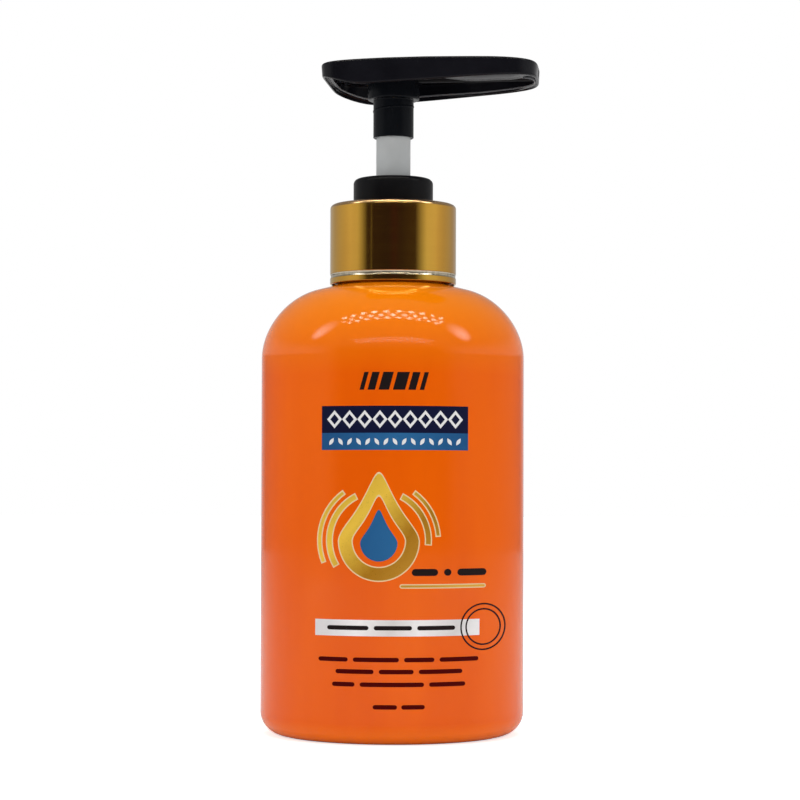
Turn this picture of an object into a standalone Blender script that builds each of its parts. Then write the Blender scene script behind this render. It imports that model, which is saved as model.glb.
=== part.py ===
"""A pump bottle for sunscreen lotion, built as the pieces that it comes apart into.

Units are metres, +Z is up and the bottle stands on z = 0. The bottle's axis is set back
from the origin, so that the origin lies under the middle of the whole object's box, with
the nozzle along +X. Heights are worked out upwards from the foot of the bottle to the
collar, upwards again from the lock ring to the pump head, and downwards from the lock
ring to the dip tube.
"""

import math

import bmesh
import bpy
from mathutils import Matrix

# Fits and roundness
FIT_GAP = 0.0003
BURIED_DEPTH = 0.0006
CUT_OVERRUN = 0.002
MERGE_DISTANCE = 0.00001
WIDE_SIDES = 48
ROUND_SIDES = 32
SMALL_SIDES = 16

# Bottle body and neck
BODY_RADIUS = 0.032
BODY_WALL = 0.0011
BODY_STRAIGHT_TOP = 0.0906
SHOULDER_RADIUS = 0.0185
FOOT_CORNER_RADIUS = 0.005
CONTACT_RING_WIDTH = 0.005
PUSH_UP_DEPTH = 0.0015
PUSH_UP_SLOPE_WIDTH = 0.005
NECK_RADIUS = 0.0125
NECK_WALL = 0.0018
NECK_HEIGHT = 0.015
NECK_THREAD_DEPTH = 0.0011
NECK_THREAD_PITCH = 0.004233
NECK_THREAD_TURNS = 1.5
NECK_THREAD_BASE_WIDTH = 0.0018
NECK_THREAD_CREST_WIDTH = 0.0008
NECK_THREAD_TOP_MARGIN = 0.0032

# Gasket, closure and the metal shell over it
GASKET_THICKNESS = 0.0007
FLANGE_THICKNESS = 0.0011
CLOSURE_TOP_THICKNESS = 0.001
CLOSURE_WALL = 0.00076
SHELL_WALL = 0.0004
SHELL_TOP_FILLET = 0.001
SHELL_BEAD_HEIGHT = 0.002
SHELL_BEAD_WIDTH = 0.0008
SHELL_BEAD_DEPTH = 0.00025

# Housing cup, lock ring and lock thread
CUP_CLEARANCE = 0.0004
CUP_WALL = 0.0014
CUP_FLOOR_THICKNESS = 0.0013
RING_RADIUS = 0.00971
RING_HEIGHT = 0.0061
RING_TOP_FILLET = 0.0012
RING_NECK_DEPTH = 0.0055
RING_GUIDE_THICKNESS = 0.0013
LOCK_THREAD_DEPTH = 0.0003
LOCK_THREAD_GAP = 0.00015
LOCK_THREAD_PITCH = 0.0024
LOCK_THREAD_TURNS = 1.25
LOCK_THREAD_BASE_WIDTH = 0.0009
LOCK_THREAD_CREST_WIDTH = 0.0004
LOCK_THREAD_EDGE_MARGIN = 0.0008

# Stem, piston, valve rod and return spring
STEM_BORE_RADIUS = 0.0022
STEM_WALL = 0.00185
STEM_FOOT_THICKNESS = 0.002
STEM_TAIL_LENGTH = 0.0044
STEM_TAIL_RADIUS = 0.0036
PISTON_RADIUS = 0.0064
PISTON_HEIGHT = 0.0057
PISTON_SLIP = 0.0012
PISTON_GAP = 0.00025
PISTON_LIP_WIDTH = 0.0003
PISTON_WAIST_DEPTH = 0.00015
PISTON_HUB_WALL = 0.001
PISTON_GROOVE_DEPTH = 0.0021
PISTON_SEAT_WIDTH = 0.0007
PISTON_SEAT_THICKNESS = 0.0015
FOOT_CLEARANCE = 0.00075
ROD_FLUTE_WIDTH = 0.0012
ROD_FLUTE_DEPTH = 0.0007
ROD_SHAFT_LENGTH = 0.0125
ROD_DISC_RADIUS = 0.0049
ROD_DISC_THICKNESS = 0.0014
ROD_PIN_RADIUS = 0.0026
ROD_PIN_END_GAP = 0.0018
SPRING_WIRE_RADIUS = 0.00045
SPRING_TURNS = 8
SPRING_RESERVE = 0.0026
SPRING_POINTS_A_TURN = 10

# Pump cylinder, ball cage and dip tube
CYLINDER_WALL = 0.00115
VENT_RADIUS = 0.0005
VENT_DROP = 0.003
BALL_RADIUS = 0.0024
CAGE_SIDE_GAP = 0.0006
CAGE_LIP_WIDTH = 0.00085
CAGE_LIP_THICKNESS = 0.0007
CAGE_HEIGHT = 0.0038
SEAT_HEIGHT = 0.0017
INLET_RADIUS = 0.0017
INLET_LENGTH = 0.0008
SOCKET_DEPTH = 0.009
SOCKET_WALL = 0.0015
TUBE_RADIUS = 0.003
TUBE_WALL = 0.0008
TUBE_FLOOR_GAP = 0.0024
TUBE_SLANT = math.radians(30)

# Pump head
EXPOSED_STEM = 0.0104
SLEEVE_WALL = 0.00058
SLEEVE_PLAIN_LENGTH = 0.0045
SLEEVE_THREADED_LENGTH = 0.0038
STROKE_END_GAP = 0.0006
STEM_SEAT_DEPTH = 0.0039
BOSS_RADIUS = 0.0063
BOSS_TO_TOP = 0.0089
HEAD_LENGTH = 0.0529
HEAD_REAR_REACH = 0.0171
HEAD_WIDTH = 0.0312
HEAD_TAPER_SHARE = 0.07
HEAD_OUTLINE_POWER = 3
HEAD_OUTLINE_POINTS = 64
HEAD_WALL = 0.0016
HEAD_TOP_THICKNESS = 0.0018
HEAD_TOP_FILLET = 0.0015
RIM_REAR_DEPTH = 0.0037
RIM_LOWEST_DEPTH = 0.0061
RIM_TIP_DEPTH = 0.0041
RIM_LOWEST_SHARE = 0.223
DUCT_RADIUS = 0.001
DUCT_WALL = 0.0007
DUCT_COVER = 0.0013
HEAD_YAW = math.radians(-6.5)

# Bottle heights and radii that follow
SHOULDER_CENTRE_RADIUS = BODY_RADIUS - SHOULDER_RADIUS
SHOULDER_TOP = BODY_STRAIGHT_TOP + SHOULDER_RADIUS
NECK_TOP = SHOULDER_TOP + NECK_HEIGHT
NECK_BORE_RADIUS = NECK_RADIUS - NECK_WALL
NECK_CREST_RADIUS = NECK_RADIUS + NECK_THREAD_DEPTH
CONTACT_RING_OUTER = BODY_RADIUS - FOOT_CORNER_RADIUS
CONTACT_RING_INNER = CONTACT_RING_OUTER - CONTACT_RING_WIDTH
PUSH_UP_RADIUS = CONTACT_RING_INNER - PUSH_UP_SLOPE_WIDTH
FLOOR_TOP = PUSH_UP_DEPTH + BODY_WALL
NECK_THREAD_BOTTOM = (
    NECK_TOP - NECK_THREAD_TOP_MARGIN - NECK_THREAD_TURNS * NECK_THREAD_PITCH
)

# Gasket, flange, closure and shell that follow
GASKET_BOTTOM = NECK_TOP + FIT_GAP
GASKET_TOP = GASKET_BOTTOM + GASKET_THICKNESS
FLANGE_BOTTOM = GASKET_TOP + FIT_GAP
FLANGE_TOP = FLANGE_BOTTOM + FLANGE_THICKNESS
CLOSURE_CREST_RADIUS = NECK_RADIUS + FIT_GAP
CLOSURE_ROOT_RADIUS = NECK_CREST_RADIUS + FIT_GAP
CLOSURE_RADIUS = CLOSURE_ROOT_RADIUS + CLOSURE_WALL
CLOSURE_WEB_BOTTOM = FLANGE_TOP + FIT_GAP
CLOSURE_TOP = CLOSURE_WEB_BOTTOM + CLOSURE_TOP_THICKNESS
FLANGE_RADIUS = CLOSURE_CREST_RADIUS - FIT_GAP
SHELL_INNER_RADIUS = CLOSURE_RADIUS + FIT_GAP
SHELL_RADIUS = SHELL_INNER_RADIUS + SHELL_WALL
SHELL_TOP = CLOSURE_TOP + FIT_GAP + SHELL_WALL
COLLAR_BOTTOM = SHOULDER_TOP + FIT_GAP

# Housing cup and lock ring that follow
CUP_RADIUS = NECK_BORE_RADIUS - CUP_CLEARANCE
CUP_INNER_RADIUS = CUP_RADIUS - CUP_WALL
RING_NECK_RADIUS = CUP_INNER_RADIUS - FIT_GAP
RING_BOTTOM = SHELL_TOP + FIT_GAP
RING_TOP = RING_BOTTOM + RING_HEIGHT
RING_NECK_BOTTOM = RING_BOTTOM - RING_NECK_DEPTH
RING_GUIDE_TOP = RING_NECK_BOTTOM + RING_GUIDE_THICKNESS
CUP_FLOOR_TOP = RING_NECK_BOTTOM - FIT_GAP
CUP_BOTTOM = CUP_FLOOR_TOP - CUP_FLOOR_THICKNESS

# Stem and head that follow
STEM_RADIUS = STEM_BORE_RADIUS + STEM_WALL
GUIDE_BORE_RADIUS = STEM_RADIUS + FIT_GAP
SLEEVE_INNER_RADIUS = STEM_RADIUS + FIT_GAP
SLEEVE_RADIUS = SLEEVE_INNER_RADIUS + SLEEVE_WALL
SLEEVE_CREST_RADIUS = SLEEVE_RADIUS + LOCK_THREAD_DEPTH
RING_CREST_RADIUS = SLEEVE_RADIUS + LOCK_THREAD_GAP
RING_BORE_RADIUS = SLEEVE_CREST_RADIUS + FIT_GAP
SLEEVE_BOTTOM = RING_TOP + EXPOSED_STEM
SLEEVE_THREAD_BOTTOM = SLEEVE_BOTTOM + SLEEVE_PLAIN_LENGTH
BOSS_BOTTOM = SLEEVE_THREAD_BOTTOM + SLEEVE_THREADED_LENGTH
HEAD_TOP = BOSS_BOTTOM + BOSS_TO_TOP
STEM_TOP = BOSS_BOTTOM + STEM_SEAT_DEPTH
DUCT_HEIGHT = HEAD_TOP - DUCT_COVER - DUCT_RADIUS
STROKE = SLEEVE_THREAD_BOTTOM - RING_TOP - STROKE_END_GAP

# Piston, valve rod and spring that follow
CYLINDER_RADIUS = PISTON_RADIUS + PISTON_GAP
STEM_FOOT_TOP = RING_NECK_BOTTOM - FIT_GAP
STEM_FOOT_BOTTOM = STEM_FOOT_TOP - STEM_FOOT_THICKNESS
STEM_FOOT_RADIUS = CYLINDER_RADIUS - FOOT_CLEARANCE
STEM_BOTTOM = STEM_FOOT_BOTTOM - STEM_TAIL_LENGTH
PISTON_TOP = STEM_FOOT_BOTTOM - FIT_GAP - PISTON_SLIP
PISTON_BOTTOM = PISTON_TOP - PISTON_HEIGHT
PISTON_HUB_INNER = STEM_TAIL_RADIUS + FIT_GAP
ROD_DISC_TOP = PISTON_BOTTOM - FIT_GAP
ROD_DISC_BOTTOM = ROD_DISC_TOP - ROD_DISC_THICKNESS
ROD_SHAFT_RADIUS = STEM_BORE_RADIUS - FIT_GAP
SPRING_SOLID_HEIGHT = SPRING_TURNS * 2 * SPRING_WIRE_RADIUS
SPRING_ROOM_SHUT = SPRING_SOLID_HEIGHT + SPRING_RESERVE
ROD_PIN_LENGTH = SPRING_ROOM_SHUT - ROD_PIN_END_GAP
SPRING_RADIUS = (ROD_PIN_RADIUS + CYLINDER_RADIUS) / 2 - SPRING_WIRE_RADIUS

# Cylinder, cage and dip tube that follow
LEDGE = ROD_DISC_BOTTOM - STROKE - SPRING_ROOM_SHUT
CYLINDER_OUTER = CYLINDER_RADIUS + CYLINDER_WALL
CAGE_TOP = LEDGE - CAGE_LIP_THICKNESS
CAGE_BOTTOM = CAGE_TOP - CAGE_HEIGHT
CAGE_RADIUS = BALL_RADIUS + CAGE_SIDE_GAP
CAGE_LIP_RADIUS = CAGE_RADIUS - CAGE_LIP_WIDTH
SEAT_BOTTOM = CAGE_BOTTOM - SEAT_HEIGHT
SOCKET_TOP = SEAT_BOTTOM - INLET_LENGTH
SOCKET_BOTTOM = SOCKET_TOP - SOCKET_DEPTH
SOCKET_RADIUS = TUBE_RADIUS + FIT_GAP
SOCKET_OUTER = SOCKET_RADIUS + SOCKET_WALL
SEAT_SLOPE = math.atan2(SEAT_HEIGHT, CAGE_RADIUS - INLET_RADIUS)
BALL_HEIGHT = SEAT_BOTTOM + (
    BALL_RADIUS + FIT_GAP - INLET_RADIUS * math.sin(SEAT_SLOPE)
) / math.cos(SEAT_SLOPE)
TUBE_TOP = SOCKET_TOP - FIT_GAP
TUBE_BOTTOM = FLOOR_TOP + TUBE_FLOOR_GAP


def material(name, colour, roughness, metallic=0.0):
    """Return a Principled BSDF material of one colour."""
    made = bpy.data.materials.new(name)
    made.use_nodes = True
    shader = made.node_tree.nodes["Principled BSDF"]
    shader.inputs["Base Color"].default_value = (*colour, 1.0)
    shader.inputs["Roughness"].default_value = roughness
    shader.inputs["Metallic"].default_value = metallic
    return made


def arc(centre_radius, centre_height, radius, start, end, steps):
    """Return points of a profile's round stretch, with angles in degrees from outwards."""
    angles = [
        math.radians(start + (end - start) * step / steps) for step in range(steps + 1)
    ]
    return [
        (
            centre_radius + radius * math.cos(angle),
            centre_height + radius * math.sin(angle),
        )
        for angle in angles
    ]


def add(name, mesh, finish, collection, parent):
    """Put a mesh in the scene as an object with its finish, on the bottle's axis."""
    made = bpy.data.objects.new(name, mesh)
    if finish:
        mesh.materials.append(finish)
    made.parent = parent
    collection.objects.link(made)
    return made


def turned(name, profile, sides, finish, collection, parent, closed=True):
    """Turn a profile of (radius, height) points round the Z axis."""
    mesh = bpy.data.meshes.new(name)
    count = len(profile)
    edges = [(i, i + 1) for i in range(count - 1)]
    if closed:
        edges.append((count - 1, 0))
    mesh.from_pydata([(r, 0, z) for r, z in profile], edges, [])
    made = add(name, mesh, finish, collection, parent)
    screw = made.modifiers.new("Turn", "SCREW")
    screw.steps = screw.render_steps = sides
    screw.use_merge_vertices = True
    screw.merge_threshold = MERGE_DISTANCE
    return made


def lofted(name, rings, finish, collection, parent):
    """Join rings of points, one after the other, into a skin with both ends capped."""
    build = bmesh.new()
    loops = [[build.verts.new(point) for point in ring] for ring in rings]
    for lower, upper in zip(loops, loops[1:]):
        for i in range(len(lower)):
            build.faces.new((lower[i - 1], lower[i], upper[i], upper[i - 1]))
    build.faces.new(loops[0])
    build.faces.new(loops[-1])
    bmesh.ops.recalc_face_normals(build, faces=build.faces)
    mesh = bpy.data.meshes.new(name)
    build.to_mesh(mesh)
    build.free()
    return add(name, mesh, finish, collection, parent)


def cylinder(name, radius, bottom, top, sides, collection, parent):
    """Return an upright solid cylinder between two heights."""
    build = bmesh.new()
    bmesh.ops.create_cone(
        build, cap_ends=True, segments=sides, radius1=radius, radius2=radius, depth=top - bottom
    )
    bmesh.ops.translate(build, verts=build.verts, vec=(0, 0, (top + bottom) / 2))
    mesh = bpy.data.meshes.new(name)
    build.to_mesh(mesh)
    build.free()
    return add(name, mesh, None, collection, parent)


def ridge(name, root, crest, bottom, pitch, turns, widths, collection, parent):
    """Return a thread's ridge, wound upwards and right-handed, whose ends sink to its root."""
    steps = round(turns * ROUND_SIDES)
    fade = ROUND_SIDES // 8
    base_half, crest_half = widths[0] / 2, widths[1] / 2
    rings = []
    for step in range(steps + 1):
        turn = step / ROUND_SIDES * 2 * math.pi
        height = bottom + pitch * step / ROUND_SIDES
        rise = min(1, (step + 1) / fade, (steps - step + 1) / fade)
        edge = root + (crest - root) * rise
        section = (
            (root, -base_half),
            (edge, -crest_half),
            (edge, crest_half),
            (root, base_half),
        )
        rings.append(
            [(r * math.cos(turn), r * math.sin(turn), height + z) for r, z in section]
        )
    return lofted(name, rings, None, collection, parent)


def boolean(target, tool, operation):
    """Join a hidden tool to a piece, or cut the piece with it."""
    tool.hide_render = True
    tool.display_type = "WIRE"
    change = target.modifiers.new(tool.name, "BOOLEAN")
    change.operation = operation
    change.object = tool
    change.solver = "EXACT"


def smooth(piece):
    """Shade a piece smooth, with its corners kept sharp."""
    piece.data.shade_smooth()
    piece.data.set_sharp_from_angle(angle=math.radians(35))


def bottle(finish, parts, tools, axis):
    """The blown bottle: body, shoulder, threaded neck and push-up in the base."""
    inner_corner = FOOT_CORNER_RADIUS - BODY_WALL
    inner = [
        (0, FLOOR_TOP),
        (PUSH_UP_RADIUS, FLOOR_TOP),
        (CONTACT_RING_INNER, BODY_WALL),
        *arc(CONTACT_RING_OUTER, FOOT_CORNER_RADIUS, inner_corner, -90, 0, 4),
        *arc(
            SHOULDER_CENTRE_RADIUS,
            BODY_STRAIGHT_TOP,
            SHOULDER_RADIUS - BODY_WALL,
            0,
            90,
            6,
        ),
        (NECK_BORE_RADIUS, SHOULDER_TOP - BODY_WALL),
        (NECK_BORE_RADIUS, NECK_TOP),
    ]
    outer = [
        (NECK_RADIUS, NECK_TOP),
        (NECK_RADIUS, SHOULDER_TOP),
        *arc(SHOULDER_CENTRE_RADIUS, BODY_STRAIGHT_TOP, SHOULDER_RADIUS, 90, 0, 10),
        *arc(CONTACT_RING_OUTER, FOOT_CORNER_RADIUS, FOOT_CORNER_RADIUS, 0, -90, 6),
        (CONTACT_RING_INNER, 0),
        (PUSH_UP_RADIUS, PUSH_UP_DEPTH),
        (0, PUSH_UP_DEPTH),
    ]
    made = turned("bottle", inner + outer, WIDE_SIDES, finish, parts, axis, closed=False)
    thread = ridge(
        "neck_thread",
        NECK_RADIUS - BURIED_DEPTH,
        NECK_CREST_RADIUS,
        NECK_THREAD_BOTTOM,
        NECK_THREAD_PITCH,
        NECK_THREAD_TURNS,
        (NECK_THREAD_BASE_WIDTH, NECK_THREAD_CREST_WIDTH),
        tools,
        axis,
    )
    boolean(made, thread, "UNION")
    return made


def gasket(finish, parts, axis):
    """The soft washer between the neck's land and the housing's flange."""
    profile = [
        (CUP_RADIUS + FIT_GAP, GASKET_TOP),
        (FLANGE_RADIUS, GASKET_TOP),
        (FLANGE_RADIUS, GASKET_BOTTOM),
        (CUP_RADIUS + FIT_GAP, GASKET_BOTTOM),
    ]
    return turned("gasket", profile, ROUND_SIDES, finish, parts, axis)


def closure(finish, parts, tools, axis):
    """The threaded plastic cap under the metal shell, which clamps the flange down."""
    hole = RING_NECK_RADIUS + FIT_GAP
    profile = [
        (hole, CLOSURE_TOP),
        (CLOSURE_RADIUS, CLOSURE_TOP),
        (CLOSURE_RADIUS, COLLAR_BOTTOM),
        (CLOSURE_ROOT_RADIUS, COLLAR_BOTTOM),
        (CLOSURE_ROOT_RADIUS, CLOSURE_WEB_BOTTOM),
        (hole, CLOSURE_WEB_BOTTOM),
    ]
    made = turned("closure", profile, ROUND_SIDES, finish, parts, axis)
    thread = ridge(
        "closure_thread",
        CLOSURE_ROOT_RADIUS + CLOSURE_WALL / 2,
        CLOSURE_CREST_RADIUS,
        NECK_THREAD_BOTTOM - NECK_THREAD_PITCH / 2,
        NECK_THREAD_PITCH,
        NECK_THREAD_TURNS,
        (NECK_THREAD_BASE_WIDTH, NECK_THREAD_CREST_WIDTH),
        tools,
        axis,
    )
    boolean(made, thread, "UNION")
    return made


def collar_shell(finish, parts, axis):
    """The drawn metal shell pressed over the closure, with a bead rolled near its edge."""
    hole = RING_NECK_RADIUS + FIT_GAP
    inner_fillet = SHELL_TOP_FILLET - SHELL_WALL
    bead_middle = COLLAR_BOTTOM + SHELL_BEAD_HEIGHT
    bead_half = SHELL_BEAD_WIDTH / 2
    profile = [
        (hole, SHELL_TOP),
        *arc(
            SHELL_RADIUS - SHELL_TOP_FILLET,
            SHELL_TOP - SHELL_TOP_FILLET,
            SHELL_TOP_FILLET,
            90,
            0,
            5,
        ),
        (SHELL_RADIUS, bead_middle + bead_half),
        (SHELL_RADIUS - SHELL_BEAD_DEPTH, bead_middle),
        (SHELL_RADIUS, bead_middle - bead_half),
        (SHELL_RADIUS, COLLAR_BOTTOM),
        (SHELL_INNER_RADIUS, COLLAR_BOTTOM),
        *arc(
            SHELL_RADIUS - SHELL_TOP_FILLET,
            SHELL_TOP - SHELL_TOP_FILLET,
            inner_fillet,
            0,
            90,
            3,
        ),
        (hole, SHELL_TOP - SHELL_WALL),
    ]
    return turned("collar_shell", profile, WIDE_SIDES, finish, parts, axis)


def lock_ring(finish, parts, tools, axis):
    """The ring that snaps into the housing's cup, guides the stem and takes the lock thread."""
    profile = [
        (RING_BORE_RADIUS, RING_TOP),
        *arc(
            RING_RADIUS - RING_TOP_FILLET, RING_TOP - RING_TOP_FILLET, RING_TOP_FILLET, 90, 0, 4
        ),
        (RING_RADIUS, RING_BOTTOM),
        (RING_NECK_RADIUS, RING_BOTTOM),
        (RING_NECK_RADIUS, RING_NECK_BOTTOM),
        (GUIDE_BORE_RADIUS, RING_NECK_BOTTOM),
        (GUIDE_BORE_RADIUS, RING_GUIDE_TOP),
        (RING_BORE_RADIUS, RING_GUIDE_TOP),
    ]
    made = turned("lock_ring", profile, WIDE_SIDES, finish, parts, axis)
    thread = ridge(
        "ring_thread",
        RING_BORE_RADIUS + BURIED_DEPTH,
        RING_CREST_RADIUS,
        RING_TOP - LOCK_THREAD_EDGE_MARGIN - LOCK_THREAD_TURNS * LOCK_THREAD_PITCH,
        LOCK_THREAD_PITCH,
        LOCK_THREAD_TURNS,
        (LOCK_THREAD_BASE_WIDTH, LOCK_THREAD_CREST_WIDTH),
        tools,
        axis,
    )
    boolean(made, thread, "UNION")
    return made


def pump_housing(finish, parts, tools, axis):
    """The cup, flange and cylinder in one moulding, with the ball's cage and the tube socket."""
    profile = [
        (CUP_INNER_RADIUS, FLANGE_TOP),
        (FLANGE_RADIUS, FLANGE_TOP),
        (FLANGE_RADIUS, FLANGE_BOTTOM),
        (CUP_RADIUS, FLANGE_BOTTOM),
        (CUP_RADIUS, CUP_BOTTOM),
        (CYLINDER_OUTER, CUP_BOTTOM),
        (CYLINDER_OUTER, LEDGE),
        (SOCKET_OUTER, CAGE_BOTTOM),
        (SOCKET_OUTER, SOCKET_BOTTOM),
        (SOCKET_RADIUS, SOCKET_BOTTOM),
        (SOCKET_RADIUS, SOCKET_TOP),
        (INLET_RADIUS, SOCKET_TOP),
        (INLET_RADIUS, SEAT_BOTTOM),
        (CAGE_RADIUS, CAGE_BOTTOM),
        (CAGE_RADIUS, CAGE_TOP),
        (CAGE_LIP_RADIUS, CAGE_TOP),
        (CAGE_LIP_RADIUS, LEDGE),
        (CYLINDER_RADIUS, LEDGE),
        (CYLINDER_RADIUS, CUP_FLOOR_TOP),
        (CUP_INNER_RADIUS, CUP_FLOOR_TOP),
    ]
    made = turned("pump_housing", profile, ROUND_SIDES, finish, parts, axis)
    vent = cylinder("vent", VENT_RADIUS, 0, CYLINDER_OUTER + CUT_OVERRUN, 12, tools, axis)
    vent.location.z = CUP_BOTTOM - VENT_DROP
    vent.rotation_euler.y = math.radians(90)
    boolean(made, vent, "DIFFERENCE")
    return made


def stem(finish, parts, axis):
    """The hollow stem between the head and the piston, with the foot that stops it."""
    profile = [
        (STEM_BORE_RADIUS, STEM_TOP),
        (STEM_RADIUS, STEM_TOP),
        (STEM_RADIUS, STEM_FOOT_TOP),
        (STEM_FOOT_RADIUS, STEM_FOOT_TOP),
        (STEM_FOOT_RADIUS, STEM_FOOT_BOTTOM),
        (STEM_TAIL_RADIUS, STEM_FOOT_BOTTOM),
        (STEM_TAIL_RADIUS, STEM_BOTTOM),
        (STEM_BORE_RADIUS, STEM_BOTTOM),
    ]
    return turned("stem", profile, ROUND_SIDES, finish, parts, axis)


def piston_seal(finish, parts, axis):
    """The sliding seal, with a lip at each end and a seat that shuts on the rod's disc."""
    hub_outer = PISTON_HUB_INNER + PISTON_HUB_WALL
    skirt_inner = PISTON_RADIUS - PISTON_LIP_WIDTH
    groove_end = PISTON_RADIUS - PISTON_WAIST_DEPTH - PISTON_LIP_WIDTH
    seat_radius = PISTON_HUB_INNER - PISTON_SEAT_WIDTH
    seat_top = PISTON_BOTTOM + PISTON_SEAT_THICKNESS
    profile = [
        (PISTON_HUB_INNER, PISTON_TOP),
        (hub_outer, PISTON_TOP),
        (hub_outer, PISTON_TOP - PISTON_GROOVE_DEPTH),
        (groove_end, PISTON_TOP - PISTON_GROOVE_DEPTH),
        (skirt_inner, PISTON_TOP),
        (PISTON_RADIUS, PISTON_TOP),
        (PISTON_RADIUS - PISTON_WAIST_DEPTH, (PISTON_TOP + PISTON_BOTTOM) / 2),
        (PISTON_RADIUS, PISTON_BOTTOM),
        (skirt_inner, PISTON_BOTTOM),
        (groove_end, PISTON_BOTTOM + PISTON_GROOVE_DEPTH),
        (hub_outer, PISTON_BOTTOM + PISTON_GROOVE_DEPTH),
        (hub_outer, PISTON_BOTTOM),
        (seat_radius, PISTON_BOTTOM),
        (seat_radius, seat_top),
        (PISTON_HUB_INNER, seat_top),
    ]
    return turned("piston_seal", profile, ROUND_SIDES, finish, parts, axis)


def valve_rod(finish, parts, tools, axis):
    """The fluted rod in the stem, with the valve's disc and the spring's guide pin."""
    profile = [
        (0, ROD_DISC_TOP + ROD_SHAFT_LENGTH),
        (ROD_SHAFT_RADIUS, ROD_DISC_TOP + ROD_SHAFT_LENGTH),
        (ROD_SHAFT_RADIUS, ROD_DISC_TOP),
        (ROD_DISC_RADIUS, ROD_DISC_TOP),
        (ROD_DISC_RADIUS, ROD_DISC_BOTTOM),
        (ROD_PIN_RADIUS, ROD_DISC_BOTTOM),
        (ROD_PIN_RADIUS, ROD_DISC_BOTTOM - ROD_PIN_LENGTH),
        (0, ROD_DISC_BOTTOM - ROD_PIN_LENGTH),
    ]
    made = turned("valve_rod", profile, SMALL_SIDES, finish, parts, axis, closed=False)
    flutes = bmesh.new()
    flute_inner = ROD_SHAFT_RADIUS - ROD_FLUTE_DEPTH
    flute_length = ROD_SHAFT_LENGTH + CUT_OVERRUN
    for quarter in range(4):
        side = bmesh.ops.create_cube(flutes, size=1)["verts"]
        bmesh.ops.scale(
            flutes, verts=side, vec=(ROD_SHAFT_RADIUS, ROD_FLUTE_WIDTH, flute_length)
        )
        bmesh.ops.translate(
            flutes,
            verts=side,
            vec=(
                flute_inner + ROD_SHAFT_RADIUS / 2,
                0,
                ROD_DISC_TOP + FIT_GAP + flute_length / 2,
            ),
        )
        turn = Matrix.Rotation(quarter * math.pi / 2, 3, "Z")
        bmesh.ops.rotate(flutes, verts=side, matrix=turn, cent=(0, 0, 0))
    mesh = bpy.data.meshes.new("rod_flutes")
    flutes.to_mesh(mesh)
    flutes.free()
    boolean(made, add("rod_flutes", mesh, None, tools, axis), "DIFFERENCE")
    return made


def return_spring(finish, parts, axis):
    """The compression spring between the cylinder's ledge and the rod's disc."""
    bottom = LEDGE + FIT_GAP + SPRING_WIRE_RADIUS
    top = ROD_DISC_BOTTOM - FIT_GAP - SPRING_WIRE_RADIUS
    count = SPRING_TURNS * SPRING_POINTS_A_TURN
    curve = bpy.data.curves.new("return_spring", "CURVE")
    curve.dimensions = "3D"
    curve.bevel_depth = SPRING_WIRE_RADIUS
    curve.bevel_resolution = 1
    curve.use_fill_caps = True
    line = curve.splines.new("POLY")
    line.points.add(count)
    for i, point in enumerate(line.points):
        turn = i / SPRING_POINTS_A_TURN * 2 * math.pi
        height = bottom + (top - bottom) * i / count
        point.co = (
            SPRING_RADIUS * math.cos(turn),
            SPRING_RADIUS * math.sin(turn),
            height,
            1,
        )
    made = bpy.data.objects.new("return_spring", curve)
    curve.materials.append(finish)
    made.parent = axis
    parts.objects.link(made)
    return made


def check_ball(finish, parts, axis):
    """The ball that shuts the inlet while the pump is pressed."""
    build = bmesh.new()
    bmesh.ops.create_uvsphere(
        build, u_segments=SMALL_SIDES, v_segments=SMALL_SIDES // 2, radius=BALL_RADIUS
    )
    mesh = bpy.data.meshes.new("check_ball")
    build.to_mesh(mesh)
    build.free()
    made = add("check_ball", mesh, finish, parts, axis)
    made.location.z = BALL_HEIGHT
    return made


def dip_tube(finish, parts, tools, axis):
    """The tube down to the foot of the bottle, with its lower end cut on a slant."""
    inner = TUBE_RADIUS - TUBE_WALL
    profile = [
        (inner, TUBE_TOP),
        (TUBE_RADIUS, TUBE_TOP),
        (TUBE_RADIUS, TUBE_BOTTOM),
        (inner, TUBE_BOTTOM),
    ]
    made = turned("dip_tube", profile, SMALL_SIDES, finish, parts, axis)
    slant_reach = 2 * TUBE_RADIUS
    slant = cylinder("slant", slant_reach, -slant_reach, 0, 12, tools, axis)
    slant.location.z = TUBE_BOTTOM + TUBE_RADIUS * math.tan(TUBE_SLANT)
    slant.rotation_euler.y = TUBE_SLANT
    boolean(made, slant, "DIFFERENCE")
    return made


def head_outline(half_length, half_width, middle):
    """Return (x, y) points round the head: a squarish oval that narrows to the nozzle."""
    points = []
    for i in range(HEAD_OUTLINE_POINTS):
        turn = 2 * math.pi * i / HEAD_OUTLINE_POINTS
        along = math.copysign(abs(math.cos(turn)) ** (2 / HEAD_OUTLINE_POWER), math.cos(turn))
        across = math.copysign(abs(math.sin(turn)) ** (2 / HEAD_OUTLINE_POWER), math.sin(turn))
        width = half_width * (1 - HEAD_TAPER_SHARE * along)
        points.append((middle + half_length * along, width * across))
    return points


def rim_height(x):
    """Return the height of the head's lower edge, which hangs lowest behind the stem."""
    lowest = RIM_LOWEST_SHARE * HEAD_LENGTH
    from_rear = min(max(x + HEAD_REAR_REACH, 0), HEAD_LENGTH)
    if from_rear < lowest:
        share = math.sin(math.pi / 2 * from_rear / lowest)
        return HEAD_TOP - RIM_REAR_DEPTH - (RIM_LOWEST_DEPTH - RIM_REAR_DEPTH) * share
    share = (from_rear - lowest) / (HEAD_LENGTH - lowest)
    return HEAD_TOP - RIM_LOWEST_DEPTH + (RIM_LOWEST_DEPTH - RIM_TIP_DEPTH) * share


def head_half_sizes():
    """Return the head outline's half length, half width and the x of its middle."""
    return HEAD_LENGTH / 2, HEAD_WIDTH / 2, HEAD_LENGTH / 2 - HEAD_REAR_REACH


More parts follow.
